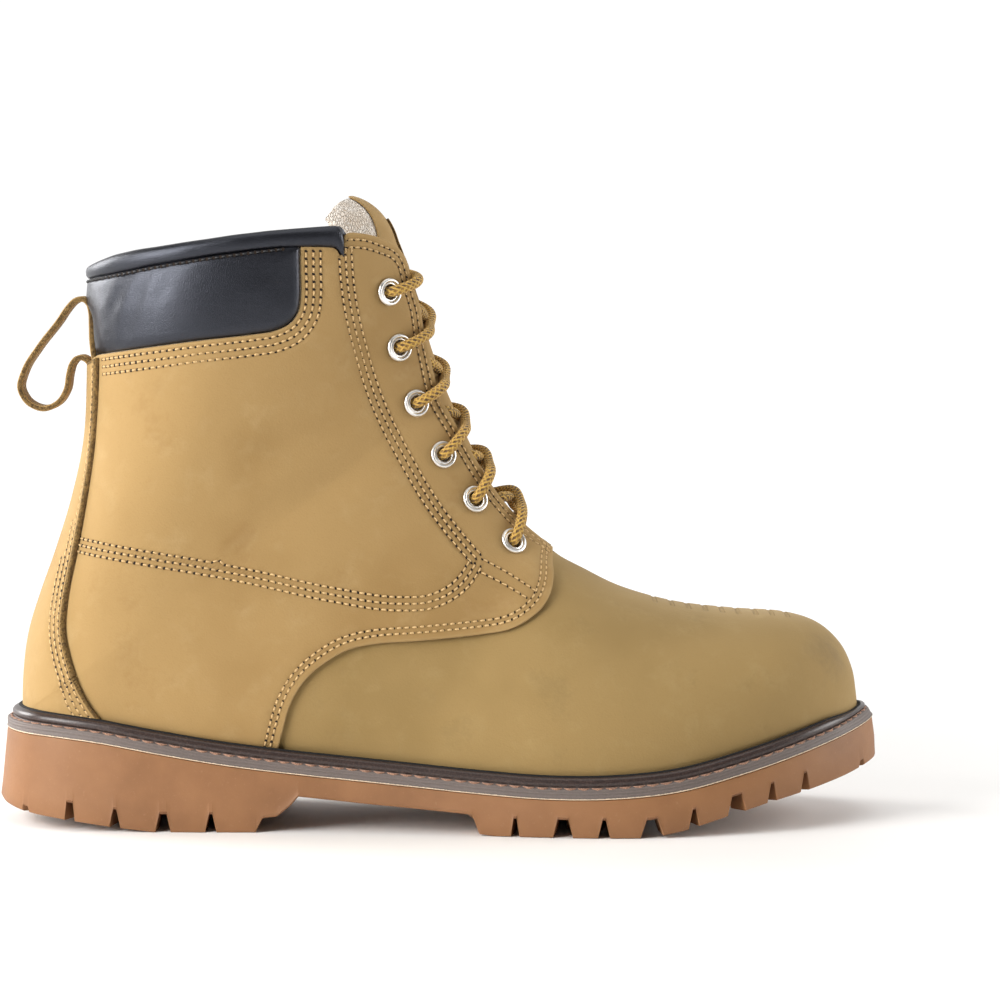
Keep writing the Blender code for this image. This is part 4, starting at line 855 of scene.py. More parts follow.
# %% [markdown]
# ## Finding places on the form
# Seams are read from the side, as a length and a height, and have to become stations and shares. A coarse
# net of the form gives a first guess and a few Newton steps make it exact. A line beside a seam is found
# with the form's own metric, so that stitch rows keep their distance over curved leather.

# %% Find a place that shows from the side
GUESS_U = np.linspace(0.3, COLLAR + 0.95, 190)
GUESS_V = np.linspace(0.0, 1.0, 120)
SMALL = 1e-3


def nearest(points, targets):
    """Number of the nearest target and its distance, for each point."""
    tree = KDTree(len(targets))
    for k, p in enumerate(targets):
        tree.insert(p, k)
    tree.balance()
    return [tree.find(p)[1:] for p in points]


def distance_to(points, targets):
    return np.array([distance for _, distance in nearest(points, targets)])


def place(points, side, offset=0.0):
    """Stations and shares of the form that show at these lengths and heights from the side."""
    points = np.asarray(points, float).reshape(-1, 2)
    net = form(GUESS_U[:, None], GUESS_V[None, :], side, offset).reshape(-1, 3)
    first = nearest(np.insert(points, 2, 0.0, axis=1), net[:, [0, 2, 1]] * [1, 1, 0])
    first = np.array([k for k, _ in first])
    u = GUESS_U[first // len(GUESS_V)]
    v = GUESS_V[first % len(GUESS_V)]

    def seen(u, v):
        return form(u, v, side, offset)[:, [0, 2]]

    for _ in range(14):
        here = seen(u, v)
        high = np.minimum(v + SMALL, 1.0)
        ux, uz = ((seen(u + SMALL, v) - here) / SMALL).T
        vx, vz = ((seen(u, high) - seen(u, high - SMALL)) / SMALL).T
        x, z = (points - here).T
        size = ux * vz - uz * vx
        size = np.where(np.abs(size) < 1e-6, 1e9, size)
        u = np.clip(u + np.clip((x * vz - z * vx) / size, -0.4, 0.4), 0.0, COLLAR + 1)
        v = np.clip(v + np.clip((ux * z - uz * x) / size, -0.08, 0.08), 0.0, 0.999)
    return np.column_stack([u, v])


def shares_of(table, side, offset, count=60):
    return place(bend(table, count), side, offset)


print("places ready")

# %% Walk over the form
def skin_of(side):
    def skin(spots, offset):
        return form(spots[:, 0], spots[:, 1], side, offset)
    return skin


def back_skin(spots, offset):
    """The form across the back seam: shares below zero are on the outer side."""
    lateral, medial = [form(spots[:, 0], np.maximum(spots[:, 1] * side, 0.0), side, offset) for side in BOTH]
    return np.where((spots[:, 1] < 0)[:, None], lateral, medial)


SKIN = {side: skin_of(side) for side in BOTH}
SIDE_STEP = 1.2


def outward(spots, skin, offset, reach=1.0):
    """Way that the skin moves when its offset grows."""
    return unit(skin(spots, offset + reach) - skin(spots, offset - reach))


def slopes(spots, skin, offset, h=SMALL):
    """How the skin runs with the station and with the share."""
    return [(skin(spots + shift, offset) - skin(spots - shift, offset)) / (2 * h)
            for shift in ([[h, 0]], [[0, h]])]


def spread(spots, skin, gap, offset):
    """Points along a path on the skin, one gap apart."""
    spots = np.asarray(spots, float)
    fine_at = np.linspace(0, len(spots) - 1, (len(spots) - 1) * 12 + 1)
    fine_spots = pick(fine_at, np.arange(len(spots)), spots)
    run = run_of(skin(fine_spots, offset))
    count = max(int(round(run[-1] / gap)), 2) + 1
    return pick(np.linspace(0.0, run[-1], count), run, fine_spots)


def beside(spots, skin, distance, offset, closed=False):
    """The path moved sideways over the skin in short steps, to the left of its way in stations and shares."""
    track = skin(spots, offset)
    way = unit(np.roll(track, -1, 0) - np.roll(track, 1, 0) if closed else np.gradient(track, axis=0))
    count = max(int(math.ceil(abs(distance) / SIDE_STEP)), 1)
    left = None
    for _ in range(count):
        du, dv = slopes(spots, skin, offset)
        normal = unit(np.cross(du, dv))
        if left is None:
            left = np.cross(normal, way)
        else:
            left = left - normal * (left * normal).sum(1, keepdims=True)
        left = unit(left)
        uu, uv, vv = (du * du).sum(1), (du * dv).sum(1), np.maximum((dv * dv).sum(1), 1.0)
        area = np.maximum(uu * vv - uv * uv, 1e-3)
        on_u, on_v = (left * du).sum(1), (left * dv).sum(1)
        turn = np.column_stack([vv * on_u - uv * on_v, uu * on_v - uv * on_u]) / area[:, None]
        spots = spots + turn * (distance / count)
    return spots


def softened(path, passes):
    """The path with soft corners: each point moves towards its neighbours."""
    for _ in range(passes):
        path[1:-1] = (path[:-2] + 2 * path[1:-1] + path[2:]) / 4
    return path


def within(spots, border):
    """Which spots lie inside a closed border."""
    inside = np.zeros(len(spots), bool)
    for (x0, y0), (x1, y1) in zip(border, np.roll(border, -1, 0)):
        if y0 != y1:
            crosses = (y0 > spots[:, 1]) != (y1 > spots[:, 1])
            inside ^= crosses & (spots[:, 0] < (x1 - x0) * (spots[:, 1] - y0) / (y1 - y0) + x0)
    return inside


def within_cut(spots, borders):
    """Which spots lie inside the first border and outside the others, which are holes."""
    keep = within(spots, borders[0])
    for hole in borders[1:]:
        keep &= ~within(spots, hole)
    return keep


def turns_left(loop):
    x, y = loop[:, 0], loop[:, 1]
    return (x * np.roll(y, -1) - np.roll(x, -1) * y).sum() > 0


def ring_edges(loops):
    """Pairs of neighbours round closed loops whose points are counted on."""
    pairs, start = [], 0
    for loop in loops:
        pairs += [(start + k, start + (k + 1) % len(loop)) for k in range(len(loop))]
        start += len(loop)
    return pairs


print("seam helpers ready")

# %% [markdown]
# ## Stitch rows
# A lockstitch shows as short cream threads that dive into needle holes; each hole is a small dark disc sunk
# in the leather, painted shade for the hole's depth. Every row is kept as a list of holes on the leather; at
# the end all stitches of a side become one mesh, because a thousand small objects would be slow.

# %% Stitch helpers
STITCH_PITCH = 2.65
STITCH_SIDES = 6
STITCH_WIDE = 0.34
STITCH_TALL = 0.26
STITCH_RINGS = [
    # share of the pitch, height, size
    (0.14, -0.34, 0.5), (0.27, -0.1, 0.95), (0.5, -0.02, 1.05), (0.73, -0.1, 0.95), (0.86, -0.34, 0.5),
]
# each needle hole is a dark disc sunk under the leather, painted shade for the hole
HOLE_RADIUS = 0.66
HOLE_RINGS = [(-0.45, HOLE_RADIUS * 0.8), (-0.2, HOLE_RADIUS)]
ROW_DEPTH = 0.28
rows_sewn = {"lateral": [], "medial": [], "back": [], "collar": []}


def sew(group, spots, skin, offset, pitch=STITCH_PITCH):
    """Keep a row of needle holes with their outward normals."""
    holes = spread(spots, skin, pitch, offset)
    rows_sewn[group].append((skin(holes, offset), outward(holes, skin, offset, 0.5)))


def stitch_mesh(rows):
    """Points, faces and finishes of all threads and holes of these rows."""
    angles = round_angles(STITCH_SIDES)
    spin = np.column_stack([np.cos(angles), np.sin(angles)])
    parts, tags = [], []
    for where, out in rows:
        for a, b, n in zip(where[:-1], where[1:], unit(out[:-1] + out[1:])):
            around = np.array([unit(np.cross(n, b - a)) * STITCH_WIDE, n * STITCH_TALL])
            parts.append(tube_mesh([a + (b - a) * share + n * lift + spin @ around * grow
                                    for share, lift, grow in STITCH_RINGS]))
            tags += [0] * len(parts[-1][1])
        for p, n in zip(where, out):
            across = unit(np.cross(n, (0.31, 0.2, 0.93)))
            around = np.array([across, np.cross(n, across)])
            parts.append(tube_mesh([p + n * low + spin @ around * radius for low, radius in HOLE_RINGS]))
            tags += [1] * len(parts[-1][1])
    return joined(parts) + (tags,)


print("threads across:", STITCH_WIDE * 2, "mm")

# %% [markdown]
# ## Cut leather panels
# A quarter is cut from a flat hide with a knife, sewn on and stretched over the last. Its outline is drawn
# on the form, the inside is filled with a triangle net that keeps the outline, the holes and the stitch
# rows, and the net is lifted to the leather's outer face. The rim shows the cut edge, rounded over half a
# millimetre, and the leather sinks a little along every stitch row. A grid with a boolean would leave
# jagged edges, so the net is made directly.

# %% Panel helper
PANEL_SCALE = np.array((14.0, 118.0))


def panel(segments, skin, inner, outer, holes=(), rows=(), gap=1.35, lift=None, edge_round=0.5):
    """Points, faces, finishes and carried numbers of a leather panel drawn in stations and shares."""
    borders = [np.concatenate([spread(s, skin, 1.0, outer)[:-1] for s in segments])]
    borders += [spread(np.concatenate([h, h[:1]]), skin, 0.8, outer)[:-1] for h in holes]
    borders = [b if turns_left(b) == (k == 0) else b[::-1] for k, b in enumerate(borders)]
    rings = [skin(border, outer) for border in borders]
    ring_3d = np.concatenate([np.concatenate([r, (r + np.roll(r, 1, 0)) / 2]) for r in rings])

    def inside(spots, clear):
        keep = within_cut(spots, borders)
        keep[keep] = distance_to(skin(spots[keep], outer), ring_3d) > clear
        return spots[keep]

    low, high = borders[0].min(0) * PANEL_SCALE, borders[0].max(0) * PANEL_SCALE
    across = np.arange(low[0], high[0], gap)
    up = np.arange(low[1], high[1], gap * 0.87)
    net = np.stack(np.meshgrid(across, up), axis=-1)
    net[1::2, :, 0] += gap / 2
    net = inside(net.reshape(-1, 2) / PANEL_SCALE, 1.3)
    kept_rows = [inside(spread(r, skin, 1.3, outer), 0.7) for r in rows]
    kept_rows = [r for r in kept_rows if len(r) > 2]
    row_3d = np.concatenate([skin(r, outer) for r in kept_rows]) if kept_rows else np.full((1, 3), 1e4)
    flanks = [inside(beside(r, skin, d, outer), 0.6) for r in kept_rows for d in (-0.85, 0.85)]
    flanks = [f[distance_to(skin(f, outer), row_3d) > 0.7] for f in flanks if len(f)]
    sewn_3d = np.concatenate([row_3d] + [skin(f, outer) for f in flanks])
    net = net[distance_to(skin(net, outer), sewn_3d) > 0.75]
    steps = [inside(beside(b, skin, d, outer, True), 0.1) for b in borders for d in (0.18, 0.55)]
    rim = ring_edges(borders)

    def fill(loose, links):
        """Triangles between the borders and the loose spots, with the links as edges."""
        edges, start = list(rim), len(rim)
        for spots in links:
            gaps = np.linalg.norm(np.diff(skin(spots, outer), axis=0), axis=1)
            edges += [(start + k, start + k + 1) for k in np.nonzero(gaps < 2.2)[0].tolist()]
            start += len(spots)
        spots = [Vector(p) for p in np.concatenate(borders + loose) * PANEL_SCALE]
        made, _, faces, origin, _, _ = delaunay_2d_cdt(spots, edges, [], 0, 1e-7)
        made = np.array([tuple(p) for p in made]) / PANEL_SCALE
        faces = np.array(faces)
        index = {old: new for new, olds in enumerate(origin) for old in olds}
        return made, faces[within_cut(made[faces].mean(1), borders)], index

    top_spots, top_faces, top_index = fill(kept_rows + flanks + steps + [net], kept_rows)
    coarse = np.stack(np.meshgrid(across[::5], up[::5]), axis=-1).reshape(-1, 2) / PANEL_SCALE
    low_spots, low_faces, low_index = fill([inside(coarse, 3.0)], [])
    base = skin(top_spots, outer)
    edge = distance_to(base, ring_3d)
    seam = distance_to(base, row_3d)
    drop = edge_round * (1 - np.sqrt(np.clip(1 - (1 - np.clip(edge / edge_round, 0, 1)) ** 2, 0, 1)))
    height = outer - drop - ROW_DEPTH * np.exp(-(seam / 0.72) ** 2)
    if lift is not None:
        height = height + lift(base, edge)
    points = np.concatenate([skin(top_spots, height), skin(low_spots, inner)])
    shift = len(top_spots)
    faces = top_faces.tolist() + (low_faces[:, ::-1] + shift).tolist()
    faces += [[top_index[a], top_index[b], low_index[b] + shift, low_index[a] + shift] for a, b in rim]
    tags = np.repeat([0, 1, 2], [len(top_faces), len(low_faces), len(rim)])
    told = leather_told(len(points))
    told["edge"][:shift] = edge
    told["seam"][:shift] = seam
    return points, faces, tags, told


print("panel helper ready")

# %% [markdown]
# ## Lining
# Inside the boot a textile lining runs from the collar to the toe. It is one closed shell in the form's own
# net, 2.2 mm inside, and comes up behind the eyestays, where its edge shows between quarter and tongue.

# %% Sew the lining
RIM_BACK = {
    LATERAL: [(34, 195), (60, 199.6), (88, 203.8), (108.7, 205.8), (121, 206)],
    MEDIAL: [(34, 195), (60, 199.6), (86, 203.6), (98, 205.4), (112, 206.6)],
}
RIM_FRONT = [(126, 207.3), (132, 207.2), (136, 206.2), (139.2, 204.6), (142, 202), (143.6, 198.6)]


def rim_table(side):
    """Station of the rim by its share of the half section."""
    spots = place(RIM_BACK[side] + RIM_FRONT, side)
    spots = spots[np.argsort(spots[:, 1])]
    return [(0.0, spots[0, 0])] + [(v, min(u, COLLAR + 0.4)) for u, v in spots[1:]]


def half_net(side, stations, shares, offset):
    """Points of one half of the form up to the rim, at an offset given by station."""
    u = np.asarray(stations)[:, None] + np.zeros((1, len(shares)))
    short = np.asarray(shares)[None, :] * (1 - 0.016 * ease(u, THROAT, THROAT + 0.6))
    limit = line(rim_table(side), throat_share(u, side) * short)
    u = np.where(u > HEEL, HEEL + (u - HEEL) * (limit - HEEL) / (COLLAR - HEEL), u)
    return form(u, throat_share(u, side) * short, side, offset)


lining_rows = np.concatenate([np.linspace(0, 2, 10), np.linspace(2.3, 10, 26),
                              [10.08, 10.15, 10.28, 10.4, 10.7], np.linspace(11, 18, 26),
                              np.linspace(18.3, 27, 30)])
lining_shares = np.linspace(0, 1, 30)
lining_out = (-0.75 + 0.95 * ease(lining_rows, 14.2, 15.6))[:, None]
lining_nets = []
for depth in (lining_out, -WALL):
    halves = [half_net(side, lining_rows, lining_shares, depth) for side in BOTH]
    lining_nets.append(np.concatenate([halves[0], halves[1][:, ::-1]], axis=1))
lining = sheet_mesh(*lining_nets, slit=len(lining_shares) - 1)
piece("lining_shell", lining[:3], [knit, knit, pale_cut], "tongue_lining", "upper")

# %% [markdown]
# ## Vamp
# The front of the foot is one smooth piece of tan nubuck pulled over a hard toe cap. On its inner and upper
# side a shift pad is pressed into the leather: a row of closed slots and a border that turns up into the
# foremost slot. The slots are real grooves in the mesh, so the rows of the net are close together there.

# %% Press the shift pad
SLOT_FIRST_X = 281.0
SLOT_PITCH = 5.9
SLOT_COUNT = 9
SLOT_HALF = 0.8
SLOT_DEPTH = 0.26
SLOT_END = {LATERAL: 0.92, MEDIAL: 0.52}
BORDER_SHARE = 0.43
BORDER_TURN = 9.0
BORDER_REAR = 7.75

top_line = np.array([(row[TOP_X], k) for k, row in enumerate(STATIONS[:12])])[::-1]
slot_at = np.interp(SLOT_FIRST_X - np.arange(SLOT_COUNT) * SLOT_PITCH, *top_line.T)


def groove(distance):
    return 1.0 - ease(distance, SLOT_HALF - 0.3, SLOT_HALF + 0.2)


def shift_pad(u, v, side):
    """Depth share of the pressed slots and border, from 0 to 1."""
    wide = np.linalg.norm(form(u + SMALL, v, side) - form(u - SMALL, v, side), axis=-1) / (2 * SMALL)
    tall = np.linalg.norm(form(u, v, side) - form(u, v - SMALL, side), axis=-1) / SMALL
    below = np.maximum(SLOT_END[side] - v, 0.0) * tall
    share = np.zeros_like(u)
    for middle in slot_at if side == LATERAL else slot_at[1:]:
        share = np.maximum(share, groove(np.hypot((u - middle) * wide, below)))
    if side == MEDIAL:
        back = BORDER_TURN - (u - slot_at[0]) * wide
        up = BORDER_TURN - (v - BORDER_SHARE) * tall
        rounded = np.hypot(np.maximum(back, 0), np.maximum(up, 0)) + np.minimum(np.maximum(back, up), 0)
        border = groove(np.abs(rounded - BORDER_TURN)) * ease(u, BORDER_REAR + 0.03, BORDER_REAR)
        share = np.maximum(share, border)
    return share


print("slots of the shift pad at stations", slot_at.round(2))

# %% Pull the vamp over the toe
VAMP_END = 14.7
VAMP_THICK = 0.6
TOE_SCUFFS = [
    # middle in x, y and z, size
    (296, -14, 60, 9), (288, -24, 56, 7), (303, 4, 55, 8), (280, 20, 66, 8),
]
vamp_rows = np.concatenate([[0.0, 0.06, 0.14, 0.25, 0.4], np.linspace(0.6, 4.6, 44),
                            np.linspace(4.66, 7.85, 215), np.linspace(7.95, 10, 36),
                            [10.06, 10.15, 10.26, 10.4, 10.6, 10.8], np.linspace(11, VAMP_END, 30)])
vamp_shares = {
    LATERAL: np.concatenate([np.linspace(0, 0.84, 52), np.linspace(0.85, 1, 26)]),
    MEDIAL: np.concatenate([np.linspace(0, 0.38, 26), np.linspace(0.388, 0.56, 36),
                            np.linspace(0.57, 1, 32)]),
}


def vamp_half(side):
    """Outer net, inner net, scuffs and painted slot-wall shade of one side, from the outer side to the inner
    one.
    """
    u = vamp_rows[:, None] + np.zeros((1, len(vamp_shares[side])))
    v = throat_share(u, side) * vamp_shares[side][None, :]
    pressed = shift_pad(u, v, side)
    uneven = wobble(form(u, v, side), 34.0, 0.22).reshape(u.shape)
    outer = form(u, v, side, uneven - pressed * SLOT_DEPTH)
    scuff = sum(np.exp(-((outer - np.array(spot[:3])) ** 2).sum(-1) / spot[3] ** 2) for spot in TOE_SCUFFS)
    # the last net is painted shade along the walls of the slots
    nets = outer, form(u, v, side, -VAMP_THICK), np.clip(scuff * 0.5, 0, 0.5), pressed * (1 - pressed) * 4
    return [net[:, ::-side] for net in nets]


halves = [vamp_half(side) for side in BOTH]
outer, inner, scuff, slot_wall_shade = [np.concatenate(pair, axis=1) for pair in zip(*halves)]
told = {**leather_told(scuff.shape), "scuff": scuff, "groove": slot_wall_shade}
vamp = sheet_mesh(outer, inner, told, slit=len(vamp_shares[LATERAL]) - 1)
piece("vamp_leather", vamp, [tan, tan, cut], "nubuck_tan", "upper")

# %% [markdown]
# ## Quarters
# The quarters cover the sides from the tab beside the lowest eyelet to the back seam, with the eyestay in
# one piece. Stitch rows follow the edges, and groups of three rows mark the ankle line, the eyestay and the
# collar pad. On the inner side a slot is left for the zip.

# %% Draw the seams of the quarters
PAD_EDGE = {
    LATERAL: [(36, 166), (55, 169), (75.4, 171.8), (92, 173.7), (99.4, 174.9), (104.8, 177.4),
              (107.8, 181.4), (108.7, 187), (108.7, 196), (108.7, 204)],
    MEDIAL: [(36, 166), (48, 167.9), (60, 169.6), (68, 170.7), (72.4, 172.4), (75, 175.6),
             (77, 181), (79.5, 191), (82, 200.8)],
}
TOP_RUN = {
    LATERAL: [(116.6, 203.9), (120.4, 203.6), (121.3, 202.6), (122.4, 200.7), (123.2, 202.6)],
    MEDIAL: [(86, 201.6), (88, 202)],
}
EYESTAY_CORNER = [(128.2, 208.7), (132.5, 208.1), (136.8, 206.9), (140.4, 205.1), (143.2, 202.6),
                  (145, 199.2), (146.2, 195), (147.5, 190.3), (150, 182.8)]
EYESTAY_TOP = {LATERAL: [(123.7, 205.3), (123.7, 207.7), (124.7, 208.6)] + EYESTAY_CORNER,
               MEDIAL: [(89.0, 205.0), (92.0, 206.2), (108.0, 208.0), (120.0, 208.7)] + EYESTAY_CORNER}
ANKLE_LINE = {
    LATERAL: [(26.5, 100), (56, 95.8), (90.7, 89.5), (118.4, 83.3), (142.6, 79.8), (153, 80.3),
              (161.7, 84.2), (169, 93.2)],
    MEDIAL: [(30.5, 117.5), (50, 115), (75, 107.5), (98, 100), (122, 92.5), (142.6, 87),
             (153, 85.6), (162, 87.4), (169, 93.2)],
}
EYESTAY_LINE = [(124, 204), (125.4, 185.5), (129.5, 166.5), (135.8, 147.5), (144.4, 130.2), (154.8, 112.8),
                (169.4, 94.8)]
TAB_ROWS = [[(171.6, 94.6), (181, 89.4), (190.6, 83.2)], [(170.8, 90.2), (179, 86), (187.2, 81.2)]]
THROAT_LOW = 10.34
FOOT_CUT = 13.62


def quarter_seams(side):
    """The quarter's outline as paths in stations and shares: back, pad, top, eyestay, throat and front."""
    pad = shares_of(PAD_EDGE[side], side, QUARTER_OUT)
    back_u = np.concatenate([np.linspace(FOOT_CUT, HEEL, 30), np.linspace(HEEL, pad[0, 0], 30)[1:]])
    back = np.column_stack([back_u, np.zeros(len(back_u))])
    pad = np.concatenate([back[-1:], pad])
    eyestay = shares_of(EYESTAY_TOP[side], side, QUARTER_OUT, 30)
    top = np.concatenate([pad[-1:], place(TOP_RUN[side], side, QUARTER_OUT), eyestay[:1]])
    high, reach = eyestay[-1]
    throat_u = np.linspace(high - 0.3, THROAT_LOW, 70)
    ahead = throat_share(np.array([high]), side)[0] - reach
    throat_v = throat_share(throat_u, side) - ahead * ease(throat_u, high - 6.0, high)
    throat = np.column_stack([throat_u, throat_v])
    front = shares_of(QUARTER_FRONT, side, QUARTER_OUT, 70)[::-1]
    front = np.concatenate([throat[-1:], front[front[:, 1] > 0.03], back[:1]])
    return back, pad, top, eyestay, np.concatenate([eyestay[-1:], throat]), front


print("eyelets on each side:", len(EYELETS))

# %% Draw the holes
EYELET_SPOTS = {side: place(EYELETS, side, QUARTER_OUT) for side in BOTH}
EYELET_HOLE = 3.4
ZIP_HEAD = np.array((102.0, 184.0))
ZIP_FOOT = np.array((106.0, 117.5))
ZIP_LONG = np.linalg.norm(ZIP_FOOT - ZIP_HEAD)
ZIP_HALF = 6.2
ZIP_DOWN = unit(ZIP_FOOT - ZIP_HEAD)
ZIP_ACROSS = np.array((-ZIP_DOWN[1], ZIP_DOWN[0]))
SLOT_CORNER = [(0, 2), (0.35, 0.8), (1, 0.2), (2, 0)]


def circle_on(spot, skin, radius, offset, count=22):
    """Loop round a spot at a distance over the skin."""
    du, dv = [slope[0] for slope in slopes(np.array([spot]), skin, offset)]
    first = unit(du)
    second = unit(dv - first * (dv @ first))
    solve = np.linalg.inv(np.array([[du @ first, dv @ first], [du @ second, dv @ second]]))
    angles = round_angles(count)
    return spot + (np.column_stack([np.cos(angles), np.sin(angles)]) * radius) @ solve.T


def slot_outline(margin):
    """Rounded slot for the zip, seen from the side, made larger by a margin."""
    half = ZIP_HALF + margin
    low = ZIP_LONG + margin
    edge = [(half, d) for d in np.linspace(1.0 - margin, low - SLOT_CORNER[0][1], 24)[:-1]]
    edge += [(half - a, low - b) for a, b in SLOT_CORNER]
    edge += [(-a, d) for a, d in edge[::-1]]
    return np.array([ZIP_HEAD + ZIP_ACROSS * a + ZIP_DOWN * d for a, d in edge])


print("zip slot:", round(float(ZIP_LONG), 1), "mm long")

# %% Place the creases
CREASES = [
    # side, from x and z, to x and z, half width, depth
    (LATERAL, (128.0, 124.0), (96.0, 112.0), 4.5, 0.35),
    (LATERAL, (122.0, 140.0), (92.0, 133.0), 4.0, 0.25),
    (MEDIAL, (134.0, 122.0), (116.0, 113.0), 4.5, 0.3),
    (LATERAL, (56.0, 197.5), (47.0, 170.0), 1.7, 0.5),
    (LATERAL, (50.0, 196.0), (42.5, 180.0), 1.4, 0.4),
    (LATERAL, (66.0, 199.0), (59.0, 183.0), 1.6, 0.25),
    (MEDIAL, (54.0, 197.0), (46.0, 172.0), 1.7, 0.45),
    (MEDIAL, (64.0, 199.0), (60.0, 184.0), 1.5, 0.25),
]


def creased(base):
    """Soft troughs at listed places, each with a low ridge beside it."""
    total = np.zeros(len(base))
    for side, start, end, half, depth in CREASES:
        way = np.array(end) - start
        flat = base[:, [0, 2]] - start
        along = flat @ way / (way @ way)
        across = (flat[:, 0] * way[1] - flat[:, 1] * way[0]) / np.linalg.norm(way) / half
        here = ease(along, -0.2, 0.25) * ease(along, 1.2, 0.75) * (base[:, 1] * side > 0)
        total -= depth * here * (np.exp(-across ** 2) - 0.4 * np.exp(-(across - 2) ** 2))
    return total


print("creases:", len(CREASES))

# %% Cut and sew the quarters
EDGE_ROWS = (2.4, 4.9)
FRONT_ROWS = (2.9, 4.9)
PAD_ROWS = (1.9, 4.5, 7.1)
SLOT_ROWS = (2.0, 4.6)
TRIPLE = (-2.35, 0.0, 2.35)


def quarter_lift(base, edge):
    return wobble(base, 30.0, 0.25) + wobble(base, 11.0, 0.07) + creased(base)


def quarter(side, word):
    """Leather of one side and its stitch rows."""
    skin = SKIN[side]
    seams = quarter_seams(side)
    _, pad, _, _, throat, front = seams
    corner = shares_of(EYESTAY_TOP[side][2:], side, QUARTER_OUT, 40)
    free, front = [softened(spread(path, skin, 1.0, QUARTER_OUT), 10)
                   for path in (np.concatenate([corner, throat[1:]]), front[:-1])]
    ankle, eyestay = [shares_of(table, side, QUARTER_OUT) for table in (ANKLE_LINE[side], EYESTAY_LINE)]
    sewn = [(pad[2:], PAD_ROWS), (free, EDGE_ROWS), (front, FRONT_ROWS), (ankle, TRIPLE), (eyestay, TRIPLE)]
    rows = [beside(path, skin, d, QUARTER_OUT) for path, distances in sewn for d in distances]
    rows += [shares_of(r, side, QUARTER_OUT, 20) for r in TAB_ROWS]
    holes = [circle_on(spot, skin, EYELET_HOLE, QUARTER_OUT) for spot in EYELET_SPOTS[side]]
    pale_edges = [pad[3:]]
    if side == MEDIAL:
        holes.append(place(slot_outline(0.0), side, QUARTER_OUT))
        pale_edges.append(holes[-1])
        rows += [shares_of(slot_outline(d), side, QUARTER_OUT, 90) for d in SLOT_ROWS]
    points, faces, tags, told = panel(seams, skin, QUARTER_IN, QUARTER_OUT, holes, rows, lift=quarter_lift)
    middles = np.array([points[face].mean(0) for face in faces])
    pale_line = [skin(spread(edge, skin, 0.5, QUARTER_OUT), QUARTER_OUT - 0.7) for edge in pale_edges]
    tags = np.where((tags == 2) & (distance_to(middles, np.concatenate(pale_line)) < 0.9), 3, tags)
    piece("quarter_%s_leather" % word, (points, faces, tags, told), [wheat, wheat, cut, pale_cut],
          "nubuck_wheat", "quarter_" + word)
    for row in rows:
        keep = within_cut(row, [np.concatenate(seams)] + holes)
        if keep.sum() > 3:
            sew(word, row[keep], skin, QUARTER_OUT)


quarter(LATERAL, "lateral")
quarter(MEDIAL, "medial")

# %% [markdown]
# ## Backstay
# A strip of nubuck covers the back seam and flares into the heel counter. It is drawn across the seam:
# shares below zero are on the outer side, and a narrow slit keeps the two bottom edges apart. Its edge is
# left thick and raw.

# %% Cut and sew the backstay
SLIT = 0.003
STAY_POINTS = 240
BACKSTAY_ROWS = [
    # distance from the edge, height where the row begins
    (2.5, 170), (4.9, 108), (7.3, 95),
]


def signed(spots, side):
    """Spots of one side as spots across the back seam."""
    return spots * np.array([1.0, side])


def stay_row(path, side, distance):
    """Row behind the backstay's edge, found again from the side, because the stations turn at the heel."""
    track = SKIN[side](path, BACKSTAY_OUT)
    left = np.cross(outward(path, SKIN[side], BACKSTAY_OUT), unit(np.gradient(track, axis=0)))
    return signed(place((track + left * (distance * side))[:, [0, 2]], side, BACKSTAY_OUT), side)


stay_edges, stay_rows = {}, []
for side in BOTH:
    edge = shares_of(BACKSTAY_FRONT, side, BACKSTAY_OUT, STAY_POINTS)
    edge = edge[edge[:, 1] > 0.012]
    edge = np.concatenate([edge, [[edge[-1, 0] - 0.12, SLIT]]])
    stay_edges[side] = signed(edge, side)[::-side]
    for distance, height in BACKSTAY_ROWS:
        row = stay_row(edge[6:-2], side, distance)
        stay_rows.append(row[back_skin(row, BACKSTAY_OUT)[:, 2] < height])
outer_edge, inner_edge = stay_edges[LATERAL], stay_edges[MEDIAL]
foot_ends = [(HEEL + 0.05, -SLIT), (HEEL + 0.05, SLIT)]
stay_path = [outer_edge, np.array([outer_edge[-1], foot_ends[0]]), np.array(foot_ends),
             np.array([foot_ends[1], inner_edge[0]]), inner_edge,
             np.array([inner_edge[-1], (inner_edge[-1][0], 0.0), outer_edge[0]])]
stay = panel(stay_path, back_skin, BACKSTAY_IN, BACKSTAY_OUT, rows=stay_rows,
             lift=lambda base, edge: wobble(base, 26.0, 0.2), edge_round=0.7)
piece("backstay_leather", stay, [wheat_raw, wheat, cut], "nubuck_wheat", "backstay")
for row in stay_rows:
    sew("back", row[within(row, np.concatenate(stay_path))], back_skin, BACKSTAY_OUT)

# %% [markdown]
# ## Collar pad and binding
# Black leather over foam goes round the back of the collar. The foam swells the panel between its seams, so
# the pad is a panel with soft deep edges that tucks under the quarter's cut edge. A rolled binding closes
# the rim above it.

